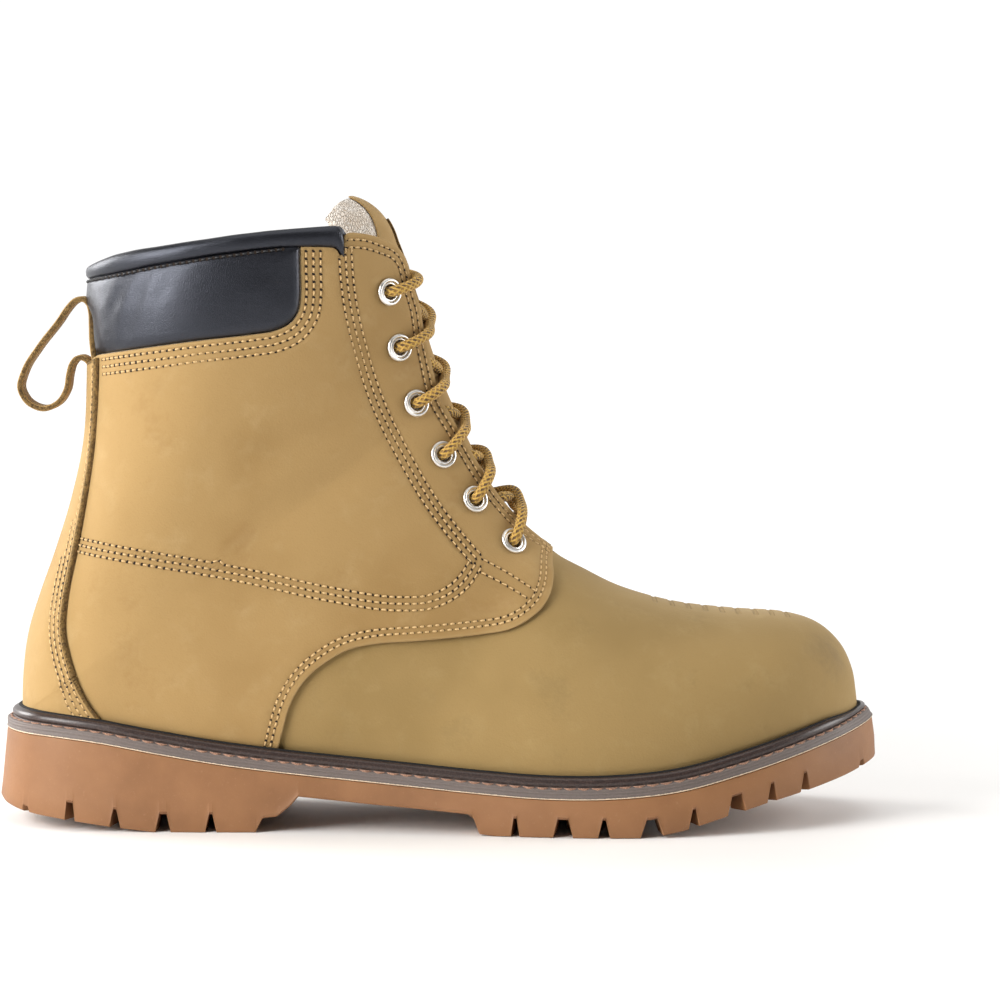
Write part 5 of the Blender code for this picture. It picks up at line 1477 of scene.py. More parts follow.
# %% Fill the collar pad
PAD_GAP = 0.25
PAD_OUT = 2.3
PAD_SWELL = 1.5
LOOP_PRESS = 3.3
COLLAR_ROW_OUT = 3.0
SEAM_LINE = [(34, 193.4), (45, 195.4), (59.8, 198.2), (87.7, 202.4), (108.7, 204.8)]
pad_low, pad_top = {}, {}
for side in BOTH:
    path = shares_of(PAD_EDGE[side], side, QUARTER_OUT)
    path = np.concatenate([[[path[0, 0], 0.0]], path])
    moved = beside(path, SKIN[side], -PAD_GAP, QUARTER_OUT)
    moved[0] = (moved[1, 0], 0.0)
    seam = shares_of(SEAM_LINE, side, QUARTER_OUT)
    seam = seam[(seam[:, 1] < moved[-1, 1] - 0.01) & (seam[:, 1] > 0.02)]
    pad_low[side] = signed(moved, side)
    pad_top[side] = signed(np.concatenate([[[seam[0, 0], 0.0]], seam, moved[-1:]]), side)


def pad_lift(base, edge):
    """Swelling of the foam, pressed in at the back where the pull loop lies."""
    x, y, z = base.T
    pressed = np.exp(-(y / 12.0) ** 2) * ease(z, 185.0, 178.0) * ease(x, 48.0, 42.0)
    uneven = wobble(base * np.array([1.0, 1.0, 1.6]), 16.0, 0.35) + creased(base)
    return PAD_SWELL * (1 - np.exp(-edge / 6.0)) - LOOP_PRESS * pressed + uneven * (1 - np.exp(-edge / 5.0))


pad_path = [pad_low[LATERAL][::-1], pad_low[MEDIAL], pad_top[MEDIAL][::-1], pad_top[LATERAL]]
pad = panel(pad_path, back_skin, QUARTER_IN, PAD_OUT, lift=pad_lift, edge_round=1.8, gap=1.5)
piece("collar_pad_leather", pad, [black, black, black], "black_leather", "collar_pad", fill=0.7)
collar_row = np.concatenate([pad_top[LATERAL][:0:-1], pad_top[MEDIAL][:-1]])[4:-4]
sew("collar", beside(collar_row, back_skin, 1.4, COLLAR_ROW_OUT), back_skin, COLLAR_ROW_OUT, pitch=2.4)

# %% Roll the binding
BINDING_RING = [
    # share of the height, offset
    (-0.06, 1.7), (0.05, 2.7), (0.25, 3.15), (0.5, 3.1), (0.74, 2.5), (0.92, 1.4), (1, 0), (0.99, -1.2),
    (0.9, -2.3), (0.72, -3), (0.45, -3.3), (0.15, -3.2), (-0.05, -2.6), (-0.1, -0.6),
]
BINDING_TOP = [(34, 197.6), (40, 199.9), (71, 205.7), (98.5, 209.4), (109.1, 210.3), (116.6, 210.8),
               (120.5, 211), (122.8, 210.5), (124.2, 209), (125.2, 207.2), (128, 206.6)]
BINDING_LOW = [(34, 193), (45, 195.2), (59.8, 198), (87.7, 202.2), (108.7, 203.8), (116.6, 203.7),
               (120.2, 203.2), (121.6, 201.4), (123, 199.6), (128, 199.4)]
BINDING_STOP = {LATERAL: 126.4, MEDIAL: 88.6}
BINDING_TUCK = {LATERAL: (121.6, 124.2), MEDIAL: (200.0, 201.0)}
END_ROWS = 5


def binding_half(side, count=90):
    """Rings of the binding from the back to its front end."""
    low, high = [shares_of(table, side, 0.0, 120) for table in (BINDING_LOW, BINDING_TOP)]
    stop = np.interp(BINDING_STOP[side], form(low[:, 0], low[:, 1], side)[:, 0], low[:, 1])
    shares = stop * np.linspace(0, 1, count) ** 0.85
    low_u, high_u = [np.interp(shares, path[:, 1], path[:, 0]) for path in (low, high)]
    tucked = ease(form(low_u, shares, side)[:, 0], *BINDING_TUCK[side])
    rings = [form(low_u + (high_u - low_u) * rise, shares, side, offset - max(offset - 0.1, 0.0) * tucked)
             for rise, offset in bend(BINDING_RING + BINDING_RING[:1], 33)[:-1]]
    return np.stack(rings, axis=1)


halves = [binding_half(side) for side in BOTH]
chain = np.concatenate([halves[0][::-1], halves[1][1:]])
middle = chain.mean(1, keepdims=True)
taper = np.ones(len(chain))
taper[:END_ROWS] = np.sqrt(1 - ((END_ROWS - np.arange(END_ROWS)) / (END_ROWS + 0.6)) ** 2)
taper[-END_ROWS:] = taper[:END_ROWS][::-1]
chain = middle + (chain - middle) * taper[:, None, None]
pleats = wobble(chain * np.array([1.0, 1.0, 0.4]), 9.0, 0.16).reshape(chain.shape[:2])
chain = chain + unit(chain - middle) * pleats[..., None]
piece("collar_binding_roll", tube_mesh(chain), [black], "black_leather", "collar_binding")

# %% [markdown]
# ## Tongue
# The tongue is a leather front over a padded knit lining. Above the eyestays it bends back towards the
# ankle and ends in a dome; from the side the knit shows behind the leather's raw front edge.

# %% Shape the tongue
TONGUE_HALF = [(9.2, 8), (10, 13), (11, 18), (14, 22), (20, 24), (25.6, 25), (28, 25)]
TONGUE_OUT = -4.4
TONGUE_BEND = 27.0
BEND_RADIUS = 20.0
BEND_LEAN = 0.35
BEND_TALL = 1.15
DOME_REACH = 20.5
WING_BACK = 5.2
WING_SPREAD = 3.4


def tongue_net(rows, columns, depth, reach=DOME_REACH, narrow=1.0):
    """Net of the tongue: rows below the bend follow the form, rows above turn back on an arc."""
    t = np.asarray(rows)[:, None] + np.zeros((1, len(columns)))
    c = np.asarray(columns)[None, :] * np.broadcast_to(narrow, (len(rows),))[:, None]
    u = np.minimum(t, TONGUE_BEND)
    gap = np.abs(c) * line(TONGUE_HALF, u)
    sides = [form(u, top_share(u, side, gap), side, depth) for side in BOTH]
    base = np.where((c < 0)[..., None], *sides)
    length = np.maximum(t - TONGUE_BEND, 0) * reach * np.sqrt(np.maximum(1 - 0.75 * np.abs(c) ** 2.2, 0))
    turn = length / BEND_RADIUS
    angle = turn + BEND_LEAN
    inward = depth - TONGUE_OUT
    forward = BEND_RADIUS * (np.cos(angle) - math.cos(BEND_LEAN)) - inward * (1 - np.cos(turn)) * 0.6
    rise = BEND_TALL * BEND_RADIUS * (np.sin(angle) - math.sin(BEND_LEAN)) + inward * np.sin(turn) * 0.75
    spread_back = WING_BACK + WING_SPREAD * ease(t, TONGUE_BEND + 0.9, TONGUE_BEND - 0.1)
    back = spread_back * np.abs(c) ** 2 * ease(t, TONGUE_BEND - 3.2, TONGUE_BEND - 0.6)
    return base + np.stack([forward * (1 + 0.03 * inward) - back, np.zeros_like(rise), rise], axis=-1)


tongue_rows = np.concatenate([[9.2, 9.5, 9.8, 10.1], np.linspace(10.5, TONGUE_BEND, 56),
                              np.linspace(27.04, 28.0, 26)])
tongue_columns = np.sin(np.linspace(-1, 1, 41) * math.pi / 2)
print("tongue's top:", tongue_net([28.0], [0.0], TONGUE_OUT)[0, 0].round(1), "mm")

# %% Cut the tongue's leather
FACING_HALF = 0.1
covered = line([(9.0, 0.94), (24.0, 0.92), (26.0, 0.72), (27.0, 0.58), (28.0, 0.46)], tongue_rows)
thick = (1.3 - 0.8 * ease(tongue_rows, 25.5, 27.4))[:, None]
facing_rows = np.concatenate([np.linspace(23.8, TONGUE_BEND, 24), np.linspace(27.04, 27.31, 8)])
facing_columns = np.linspace(-FACING_HALF, FACING_HALF, 13)
for name, rows, columns, narrow, outer, inner, rim in (
    ("tongue_leather", tongue_rows, tongue_columns, covered, TONGUE_OUT, TONGUE_OUT - thick, wheat),
    ("tongue_facing", facing_rows, facing_columns, 1.0, TONGUE_OUT + 0.85, TONGUE_OUT - 0.3, cut),
):
    nets = [tongue_net(rows, columns, depth, narrow=narrow) for depth in (outer, inner)]
    sheet = sheet_mesh(*nets, leather_told(nets[0].shape[:2]))
    piece(name, sheet, [wheat, wheat, rim], "nubuck_wheat", "tongue")

# %% Pad the tongue
PADDING_DEPTH = -4.3
PADDING_HALF = 3.5
layers = []
for share in np.linspace(-1, 1, 13):
    swell = math.sqrt(max(1 - share ** 2, 0.0))
    depth = TONGUE_OUT + PADDING_DEPTH + PADDING_HALF * share
    layers.append(tongue_net(tongue_rows, tongue_columns * (0.92 + 0.1 * swell), depth,
                             DOME_REACH * (0.99 + 0.05 * swell)))
layers = np.array(layers)
rings = [np.concatenate([layers[-1, r, 1:-1][::-1], layers[::-1, r, 0], layers[0, r, 1:-1], layers[:, r, -1]])
         for r in range(len(tongue_rows))]
points, faces = tube_mesh(rings, capped=False)
faces.append(list(range(len(rings[0])))[::-1])
crown = layers[:, -1]
ids = np.arange(crown.shape[0] * crown.shape[1]).reshape(crown.shape[:2])
padding = joined([(points, faces), (crown.reshape(-1, 3), quads(ids[:-1], ids[1:]))])
piece("tongue_padding", padding, [knit], "tongue_lining", "tongue", fill=0.6)

# %% [markdown]
# ## Eyelets and lace
# Each eyelet is a brass ring with bright nickel: a tube through the leather, rolled over outside. The lace
# is one round braided cord. From the bottom bar each end comes up out of an eyelet, crosses over the
# tongue, dives under the other eyestay and comes out of the next eyelet above; a last bar joins the top
# pair. It is a tube along one smooth path, with the braid's yarns raised on its surface.

# %% Set the eyelets
EYELET_RING = [
    # radius, height
    (2.6, -2.7), (2.6, 0.2), (2.64, 0.45), (2.78, 0.64), (3, 0.7), (3.2, 0.64), (3.34, 0.56), (3.5, 0.66),
    (3.75, 0.92), (4.1, 1.06), (4.45, 0.98), (4.75, 0.7), (4.88, 0.35), (4.84, 0.12), (3.35, 0.08),
    (3.35, -2.7),
]
EYELET_PARTS = 36
EYELET_LIFT = 0.25


def turned(profile, parts, where, axis):
    """Ring turned about an axis from a closed profile of radius and height."""
    first = unit(np.cross(axis, (0.21, 0.13, 0.97)))
    second = np.cross(axis, first)
    angles = np.append(round_angles(parts), 0.0)
    radius, height = np.array(profile).T[:, :, None]
    rings = [where + (first * math.cos(a) + second * math.sin(a)) * radius + axis * height for a in angles]
    return tube_mesh(rings, capped=False)


eyelets = {}
for side in BOTH:
    spots = EYELET_SPOTS[side]
    axis = np.cross(*slopes(spots, SKIN[side], QUARTER_OUT, 2e-3))
    axis = unit(axis) * np.sign((axis * outward(spots, SKIN[side], QUARTER_OUT)).sum(1, keepdims=True))
    eyelets[side] = list(zip(SKIN[side](spots, QUARTER_OUT), axis))
rings = [turned(EYELET_RING, EYELET_PARTS, where + axis * EYELET_LIFT, axis)
         for side in BOTH for where, axis in eyelets[side]]
piece("eyelet_rings", joined(rings), [nickel], "eyelet_metal",
      *["eyelet_%s_%d" % (name, k) for name in ("lateral", "medial") for k in range(1, 7)], sharp=60.0)

# %% Lead the lace through the eyelets
LACE_RADIUS = 1.9
LACE_ABOVE = 3.0
LACE_STEP = 0.475
TUCK = 6.0
TOP_BAR_RISE = 6.0
RISE_OVER = 10.8
RISE_UNDER = 7.6
BAR_AHEAD = 3.0
LACE_LEG = [
    # way out of the leather, way along it
    (-TUCK, 0.0), (-2.0, 0.0), (1.6, 0.9), (LACE_ABOVE, 4.2), (LACE_ABOVE - 0.1, 9.0),
]
LACE_DIVE = [(-3.6, 13.0), (-5.0, 8.0), (-TUCK, 2.0)]


def ahead_of(start, goal, rise):
    """Point in front of the middle between two eyelets, this far above the lace on the leather."""
    (a, a_out), (b, b_out) = start, goal
    middle = (a + b) / 2
    forward = unit((a_out + b_out) * np.array([1.0, 0.0, 1.0]))
    return middle + forward * (max((a - middle) @ forward, (b - middle) @ forward) + LACE_ABOVE + rise)


def lace_leg(eyelet, goal, steps=LACE_LEG):
    """Points at an eyelet, out of the leather and along it towards a goal."""
    spot, out = eyelet
    way = unit(goal - spot - out * ((goal - spot) @ out))
    return [spot + out * up + way * along for up, along in steps]


def lace_crossing(start, goal, rise):
    """Points from inside one eyelet, over the tongue, to under the other eyestay and below its eyelet."""
    top = ahead_of(start, goal, rise)
    over = [top + (start[0] - top) * 0.22, top + (goal[0] - top) * 0.16]
    return lace_leg(start, top) + over + lace_leg(goal, top, LACE_DIVE)


left, right = eyelets[LATERAL], eyelets[MEDIAL]
last = len(EYELETS) - 1
way_up = {LATERAL: [], MEDIAL: []}
for first_side in BOTH:
    now = first_side
    for k in range(last, 0, -1):
        rise = RISE_OVER if now == LATERAL else RISE_UNDER
        way_up[first_side] += lace_crossing(eyelets[now][k], eyelets[-now][k - 1], rise)
        now = -now
under = unit(left[last][1] + right[last][1]) * 5.5
low_bar = [left[last][0] * (1 - s) + right[last][0] * s - under for s in (0.3, 0.5, 0.7)]
bar_top = ahead_of(right[0], left[0], BAR_AHEAD) + np.array([0.0, 0.0, TOP_BAR_RISE])
top_bar = lace_leg(right[0], bar_top) + [bar_top] + lace_leg(left[0], bar_top)[::-1]
lace_way = np.array(way_up[MEDIAL][::-1] + low_bar[::-1] + way_up[LATERAL] + top_bar)
keep = np.append(True, np.linalg.norm(np.diff(lace_way, axis=0), axis=1) > 0.6)
lace_way = bend(lace_way[keep], 4000)
run = run_of(lace_way)
lace_path = softened(pick(np.linspace(0, run[-1], int(run[-1] / LACE_STEP)), run, lace_way), 6)
print("points along the lace:", len(lace_path))

# %% Braid the lace
LACE_PARTS = 24
YARN_RISE = 0.07


def tube(path, radius, parts, relief=None):
    """Rings of a tube along a path, carried along without twist, with a relief by run and angle."""
    ahead = unit(np.gradient(path, axis=0))
    side = unit(np.cross(ahead[0], (0.3, 0.5, 0.8)))
    angles = round_angles(parts)
    rings = []
    for p, t, s in zip(path, ahead, run_of(path)):
        side = unit(side - t * (side @ t))
        size = np.full(parts, radius) + (0.0 if relief is None else relief(s, angles))
        spin = side * np.cos(angles)[:, None] + np.cross(t, side) * np.sin(angles)[:, None]
        rings.append(p + spin * size[:, None])
    return np.array(rings)


def yarns(run, angle):
    """Raised yarns of the braid."""
    left_hand, right_hand = [np.sin(run * TURN / YARN_PITCH + hand * angle * YARNS) for hand in (1, -1)]
    return YARN_RISE * np.maximum(left_hand, right_hand)


length = run_of(lace_path)
share_round = np.tile(round_angles(LACE_PARTS) / TURN, len(length))
told = {"along": np.repeat(length, LACE_PARTS), "around": share_round}
lace = tube_mesh(tube(lace_path, LACE_RADIUS - 0.05, LACE_PARTS, yarns)) + (None, told)
piece("lace_cord_run", lace, [braid], "lace_cord", "lace_top", *["lace_cross_%d" % k for k in range(1, 6)])
print("lace length:", round(length[-1]), "mm")

# %% [markdown]
# ## Pull loop
# A strip of the same leather is folded into a loop and sewn in under the backstay. Its raw edges are brown
# and rough, so the strip's thickness has the cut finish.

# %% Bend the pull loop
LOOP_LINE = [(34.6, 161.5), (33.7, 166), (33.2, 171), (33.1, 176.3), (32.9, 181), (32.1, 183.8),
             (30.7, 185.2), (28.9, 185.4), (27, 184.6), (25.2, 182.8), (21.4, 177.4), (14.2, 168.2),
             (9.1, 160), (7.6, 153.8), (10.4, 148.8), (16.1, 146.6), (21.3, 149), (24, 153.4), (25, 159),
             (26.1, 162.5), (27.7, 164.3), (29.4, 164.7), (31.2, 163.9), (32.6, 162), (33.2, 159),
             (33.7, 156), (34.4, 152)]
LOOP_THICK = 2.0
LOOP_HALF_WIDTH = 6.0


def flat_normal(path):
    """Unit vectors to the left of a flat path's way."""
    way = unit(np.gradient(path, axis=0))
    return np.column_stack([-way[:, 1], way[:, 0]])


loop_path = bend(LOOP_LINE, 180)
loop_columns = np.array([-1.0, -0.97, -0.9, -0.6, -0.2, 0.2, 0.6, 0.9, 0.97, 1.0])
loop_nets = []
for lift in (0.5, -0.5):
    thick = LOOP_THICK * lift * (1 - 0.35 * np.clip((np.abs(loop_columns) - 0.9) / 0.1, 0, 1) ** 2)
    x, z = np.moveaxis(loop_path[:, None] + flat_normal(loop_path)[:, None] * thick[None, :, None], -1, 0)
    rough = wobble(np.stack([x, x * 0, z], -1), 2.6, 0.22).reshape(x.shape)
    loop_nets.append(np.stack([x, loop_columns[None, :] * (LOOP_HALF_WIDTH + rough), z], axis=-1))
loop = sheet_mesh(*loop_nets, leather_told(x.shape))
piece("heel_pull_loop", loop, [wheat, wheat, cut], "nubuck_wheat", "pull_loop")

# %% [markdown]
# ## Zip
# The zip on the inner side lets the boot open without the laces. Its metal teeth are clamped on two woven
# tapes and interlock in the middle; the slider holds a bridge, and the pull tab hangs on a bar under it.
# Each tooth is a small bar with rounded ends, all joined in one mesh. The tab is drawn flat, cut out and
# bevelled, and is built round the hinge of the imported model, on a body of its own.

# %% Lay the tape and the teeth
TAPE_HALF = 6.15
TOOTH_PITCH = 2.4
TOOTH_FROM = -2.75
TOOTH_TO = 0.55
TOOTH_OUT = 1.5
TOOTH_RINGS = [(0, 0.55), (0.06, 0.85), (0.2, 1), (0.7, 1), (0.92, 1.1), (1, 0.7)]
TOOTH_WIDE = 0.46
TOOTH_TALL = 0.5


def zip_at(down, across, offset):
    """Points of the inner side at places down the zip and across it."""
    down, across, offset = np.broadcast_arrays(np.asarray(down, float), across, offset)
    flat = ZIP_HEAD + ZIP_DOWN * down.reshape(-1, 1) + ZIP_ACROSS * across.reshape(-1, 1)
    spots = place(flat, MEDIAL, QUARTER_OUT)
    return form(spots[:, 0], spots[:, 1], MEDIAL, offset.reshape(-1)).reshape(down.shape + (3,))


tape_down = np.linspace(0.5, ZIP_LONG - 0.5, 100)[:, None]
tape_across = np.linspace(-TAPE_HALF, TAPE_HALF, 41)[None, :]
cords = 0.22 * np.exp(-((np.abs(tape_across) - 3.3) / 0.5) ** 2) - 0.2 * np.exp(-(tape_across / 0.4) ** 2)
tape_sheet = sheet_mesh(zip_at(tape_down, tape_across, 0.8 + cords), zip_at(tape_down, tape_across, GAP))
piece("zip_tape_cloth", tape_sheet[:2], [tape], "zip_fabric", "zip_tape")

tooth_down = np.arange(3.0, ZIP_LONG - 2.5, TOOTH_PITCH / 2)
middle = zip_at(tooth_down, 0.0, TOOTH_OUT)
across = unit(zip_at(tooth_down, 1.0, TOOTH_OUT) - zip_at(tooth_down, -1.0, TOOTH_OUT))
along = unit(zip_at(tooth_down + 1, 0.0, TOOTH_OUT) - zip_at(tooth_down - 1, 0.0, TOOTH_OUT))
out = unit(np.cross(across, along))
out = out * np.sign((out * (zip_at(tooth_down, 0.0, TOOTH_OUT + 1) - middle)).sum(1))[:, None]
angles = round_angles(10)[:, None]
teeth = []
for k, (p, a, d, n) in enumerate(zip(middle, across, along, out)):
    a = a if k % 2 else -a
    around = d * np.cos(angles) * TOOTH_WIDE + n * np.sin(angles) * TOOTH_TALL
    teeth.append(tube_mesh([p - a * (TOOTH_FROM + (TOOTH_TO - TOOTH_FROM) * share) + around * size
                            for share, size in TOOTH_RINGS]))
piece("zip_teeth_rows", joined(teeth), [bronze], "zip_metal", "zip_teeth")

# %% Cast the slider
hinge = frame["joints"][0]
PIN = np.array(hinge["pos_m"]) / MM + CENTRE
HINGE_UP = 2.4
HINGE_OUT = 7.2
ZIP_RIGHT = -np.array(hinge["axis"])
slider_out = np.cross(ZIP_RIGHT, -along[len(along) // 8])
ZIP_OUT = unit(slider_out) * np.sign(slider_out[1])
ZIP_UP = np.cross(ZIP_OUT, ZIP_RIGHT)
SLIDER_EDGE = [
    # half width, height along the zip
    (2.6, -5.6), (3.4, -5.2), (3.9, -3.4), (4.3, -0.5), (5.1, 2.2), (5.3, 3.8), (4.9, 5), (3.7, 5.6),
    (2, 5.8),
]
SLIDER_RINGS = [
    # size, height above the form
    (0.9, 2.3), (1, 2.5), (1, 3), (0.92, 3.15), (0.92, 3.45), (1, 3.6), (1, 4.2), (0.95, 4.65), (0.82, 4.9),
]
BRIDGE_LINE = [(5.3, 4.2), (5.4, 6.4), (5, 8.3), (3.8, 9.3), (1.8, 9.5), (-1.2, 9.1), (-3.4, 7.9),
               (-4.4, 6.2), (-4.6, 4.2)]
BRIDGE_CORNER = np.array([(-1, -0.7), (-0.85, -1), (0.85, -1), (1, -0.7), (1, 0.7), (0.85, 1), (-0.85, 1),
                          (-1, 0.7)])
BRIDGE_HALF = 1.65
BRIDGE_THICK = 1.1


def on_slider(right, up, out):
    """Points from the slider's own right, up and out, measured from the form under its middle."""
    right, up, out = [v[..., None] for v in np.broadcast_arrays(np.asarray(right, float), up, out)]
    return PIN + ZIP_RIGHT * right + ZIP_UP * (up - HINGE_UP) + ZIP_OUT * (out - HINGE_OUT)


edge = np.array(SLIDER_EDGE)
edge = np.concatenate([edge, edge[::-1] * [-1, 1], edge[:1]])
edge = bend(edge, 61)[:-1]
body = tube_mesh([on_slider(edge[:, 0] * size, edge[:, 1] * size, height) for size, height in SLIDER_RINGS])
bridge_path = bend(BRIDGE_LINE, 40)
wide, thick = (BRIDGE_CORNER * [BRIDGE_HALF, BRIDGE_THICK / 2]).T
bridge = tube_mesh([on_slider(wide, up + n_up * thick, out + n_out * thick)
                    for (up, out), (n_up, n_out) in zip(bridge_path, flat_normal(bridge_path))])
slider = joined([body, bridge]) + (np.repeat([0, 1], [len(body[1]), len(bridge[1])]),)
piece("zip_slider_body", slider, [gunmetal, steel], "zip_metal", "zip_slider", sharp=40.0)

# %% Cut the pull tab
TAB_HALF = [(2.2, -0.9), (2.7, -1.3), (4.3, -1.3), (4.9, -0.8), (5, 0.6), (4.6, 3.2), (4.2, 6.4), (4.05, 9),
            (4.4, 11.6), (5.1, 13.8), (5.6, 16), (5.75, 18.2), (5.3, 20.3), (4.1, 21.9), (2.3, 22.9),
            (0, 23.2)]
FORK_SLOT = [(-2.2, 6.2), (-1.9, 7.2), (-1.1, 7.9), (0, 8.15), (1.1, 7.9), (1.9, 7.2), (2.2, 6.2)]
EYE_LOW = 18.0
EYE_HALF = (4.1, 3.2)
TAB_THICK = 1.5
TAB_SOFT = 0.22
BAR_HALF = 2.5
BAR_RADIUS = 0.7
TAB_LEVELS = [
    # inset of the outline, height in thicknesses
    (TAB_SOFT, -0.5), (0.0, -0.5 + TAB_SOFT / TAB_THICK), (0.0, 0.5 - TAB_SOFT / TAB_THICK), (TAB_SOFT, 0.5),
]


def moved_in(loop, distance):
    """Closed loop moved inwards, to the left of its way."""
    way = unit(np.roll(loop, -1, 0) - np.roll(loop, 1, 0))
    return loop + np.column_stack([-way[:, 1], way[:, 0]]) * distance


half = np.array(TAB_HALF)
outline = np.concatenate([half, half[-2::-1] * [-1, 1], FORK_SLOT, half[:1]])
run = run_of(outline)
outline = pick(np.linspace(0.0, run[-1], int(run[-1] / 0.5) + 1)[:-1], run, outline) * [1, -1]
eye_turn = round_angles(36)
eye = np.column_stack([np.cos(eye_turn) * EYE_HALF[0], np.sin(eye_turn) * EYE_HALF[1] - EYE_LOW])
outline = outline if turns_left(outline) else outline[::-1]
eye = eye[::-1] if turns_left(eye) else eye
loops = [outline, eye]
both = np.concatenate([moved_in(loop, TAB_SOFT) for loop in loops])
rim = ring_edges(loops)
points = []
for depth, level in TAB_LEVELS:
    x, y = np.concatenate([moved_in(loop, depth) for loop in loops]).T
    points.append(on_slider(x, y + HINGE_UP, HINGE_OUT + TAB_THICK * level))
size = len(both)
faces = [[k * size + a, k * size + b, (k + 1) * size + b, (k + 1) * size + a]
         for k in range(len(TAB_LEVELS) - 1) for a, b in rim]
_, _, flat_faces, origin, _, _ = delaunay_2d_cdt([Vector(p) for p in both], rim, [], 0, 1e-7)
flat_faces = np.array([[origin[i][0] for i in face] for face in flat_faces])
flat_faces = flat_faces[within_cut(both[flat_faces].mean(1), loops)]
for level in (0, len(TAB_LEVELS) - 1):
    faces += (flat_faces + level * size).tolist()
bar = tube_mesh(tube(on_slider(np.linspace(-BAR_HALF, BAR_HALF, 5), HINGE_UP, HINGE_OUT), BAR_RADIUS, 14))
tab = joined([(np.concatenate(points), faces), bar])
piece("zip_pull_tab", tab, [gunmetal], "pull_metal", "zip_pull", body="pull", sharp=40.0)

# %% [markdown]
# ## Flap and hook patch
# A leather flap is sewn in along its front edge and folds back over the top of the zip. Its other edges are
# free and pale, with one row of stitches. A black hook patch on the quarter holds it shut and shows as a
# band round it.

# %% Cut the flap and the patch
FLAP_IN = QUARTER_OUT + 1.4
FLAP_OUT = FLAP_IN + LEATHER
FLAP_BACK = [(89, 208.5), (88.8, 200), (88.9, 194.5), (89.7, 191), (91.8, 188.7), (95, 187.4)]
FLAP_LOW = [(95, 187.4), (100, 185.6), (106, 183), (111.5, 180)]
FLAP_FRONT = [(111.5, 180), (114.2, 188.3), (116.8, 196), (121.5, 209.5)]
FLAP_TOP = [(121.5, 209.5), (105, 209.3), (89, 208.5)]
FLAP_ROW = 2.3
FLAP_DOWN = 1.15
PATCH = [[(83.2, 203), (83, 196), (83.7, 191.5), (86.2, 187.2), (90.5, 184.6), (97.6, 182.3)],
         [(97.6, 182.3), (100, 190), (99, 203.6)], [(99, 203.6), (91, 203.6), (83.2, 203)]]
PATCH_OUT = QUARTER_OUT + 1.1


def flap_skin(spots, offset):
    """The form with the flap's front edge drawn down to the quarter."""
    base = SKIN[MEDIAL](spots, offset)
    (low_x, low_z), (high_x, high_z) = FLAP_FRONT[0], FLAP_FRONT[-1]
    front = np.interp(base[:, 2], [low_z, high_z], [low_x, high_x])
    return SKIN[MEDIAL](spots, offset - FLAP_DOWN * ease(base[:, 0] - front, -9.0, 0.0))


flap_path = [shares_of(t, MEDIAL, FLAP_OUT, 40) for t in (FLAP_BACK, FLAP_LOW, FLAP_FRONT, FLAP_TOP)]
free_edge = np.concatenate([flap_path[3], flap_path[0][1:], flap_path[1][1:]])
flap_border = np.concatenate(flap_path)
flap_row = beside(free_edge, flap_skin, FLAP_ROW, FLAP_OUT)
if not within(flap_row[50:51], flap_border)[0]:
    flap_row = beside(free_edge, flap_skin, -FLAP_ROW, FLAP_OUT)
clear = distance_to(flap_skin(flap_row, FLAP_OUT), flap_skin(free_edge, FLAP_OUT)) > FLAP_ROW * 0.9
flap_row = flap_row[within(flap_row, flap_border) & clear]
flap = panel(flap_path, flap_skin, FLAP_IN, FLAP_OUT, rows=[flap_row],
             lift=lambda base, edge: wobble(base, 20.0, 0.2), edge_round=0.55)
piece("zip_flap_leather", flap, [wheat, wheat, pale_cut], "nubuck_wheat", "zip_flap")
sew("medial", flap_row, flap_skin, FLAP_OUT)

patch_path = [shares_of(t, MEDIAL, QUARTER_OUT, 30) for t in PATCH]
patch = panel(patch_path, SKIN[MEDIAL], QUARTER_OUT + GAP, PATCH_OUT, edge_round=0.4)
piece("hook_patch_pile", patch[:2], [hooks], "hook_patch", "flap_patch")

# %% [markdown]
# ## Insole, welt and sole
# The gum sole is moulded in one piece: a tall heel with side lugs, an arch, a forefoot with lugs and a toe
# that springs up. A dark strip and a rounded bead run round its upper edge, joined by a row of coarse
# stitches. All three are loops at insets from one outline, with close stations wherever a groove cuts the
# edge.

# %% Loops round the sole
HEEL_CURVE = 14.0
HEEL_DRAFT = 1.3


def at_heel(x):
    """1 at the very back, 0 in front of the heel's curve."""
    return np.clip((HEEL_CURVE - x) / HEEL_CURVE, 0.0, 1.0) ** 1.5


def outline_loop(stations, inset, height):
    """Loop at an inset from the outline, one point per station on each side, with a height by length."""
    loop = {}
    for side in BOTH:
        chain, normal = CHAIN[side]
        at = np.interp(stations, rising(chain[:, 0]), np.arange(FINE))
        at[[0, -1]] = (0, FINE - 1)
        out = unit(pick(at, np.arange(FINE), normal))
        moved = pick(at, np.arange(FINE), chain) - out * np.broadcast_to(inset, len(stations))[:, None]
        loop[side] = np.column_stack([moved, height(moved[:, 0])])
    return loop


def meet_ends(loop):
    for side in BOTH:
        loop[side][[0, -1], 1] = (loop[LATERAL][[0, -1], 1] + loop[MEDIAL][[0, -1], 1]) / 2
    return loop


def ring_mesh(loops):
    """Closed mesh from loops that run heel to toe on each side."""
    points = np.concatenate([loop[side] for loop in loops for side in BOTH])
    ids = np.arange(len(points)).reshape(len(loops), 2, -1)
    return points, quads(ids[:-1], ids[1:]) + quads(*ids[0]) + quads(*ids[-1])


print("loops ready, with", FINE, "points of the outline on each side")

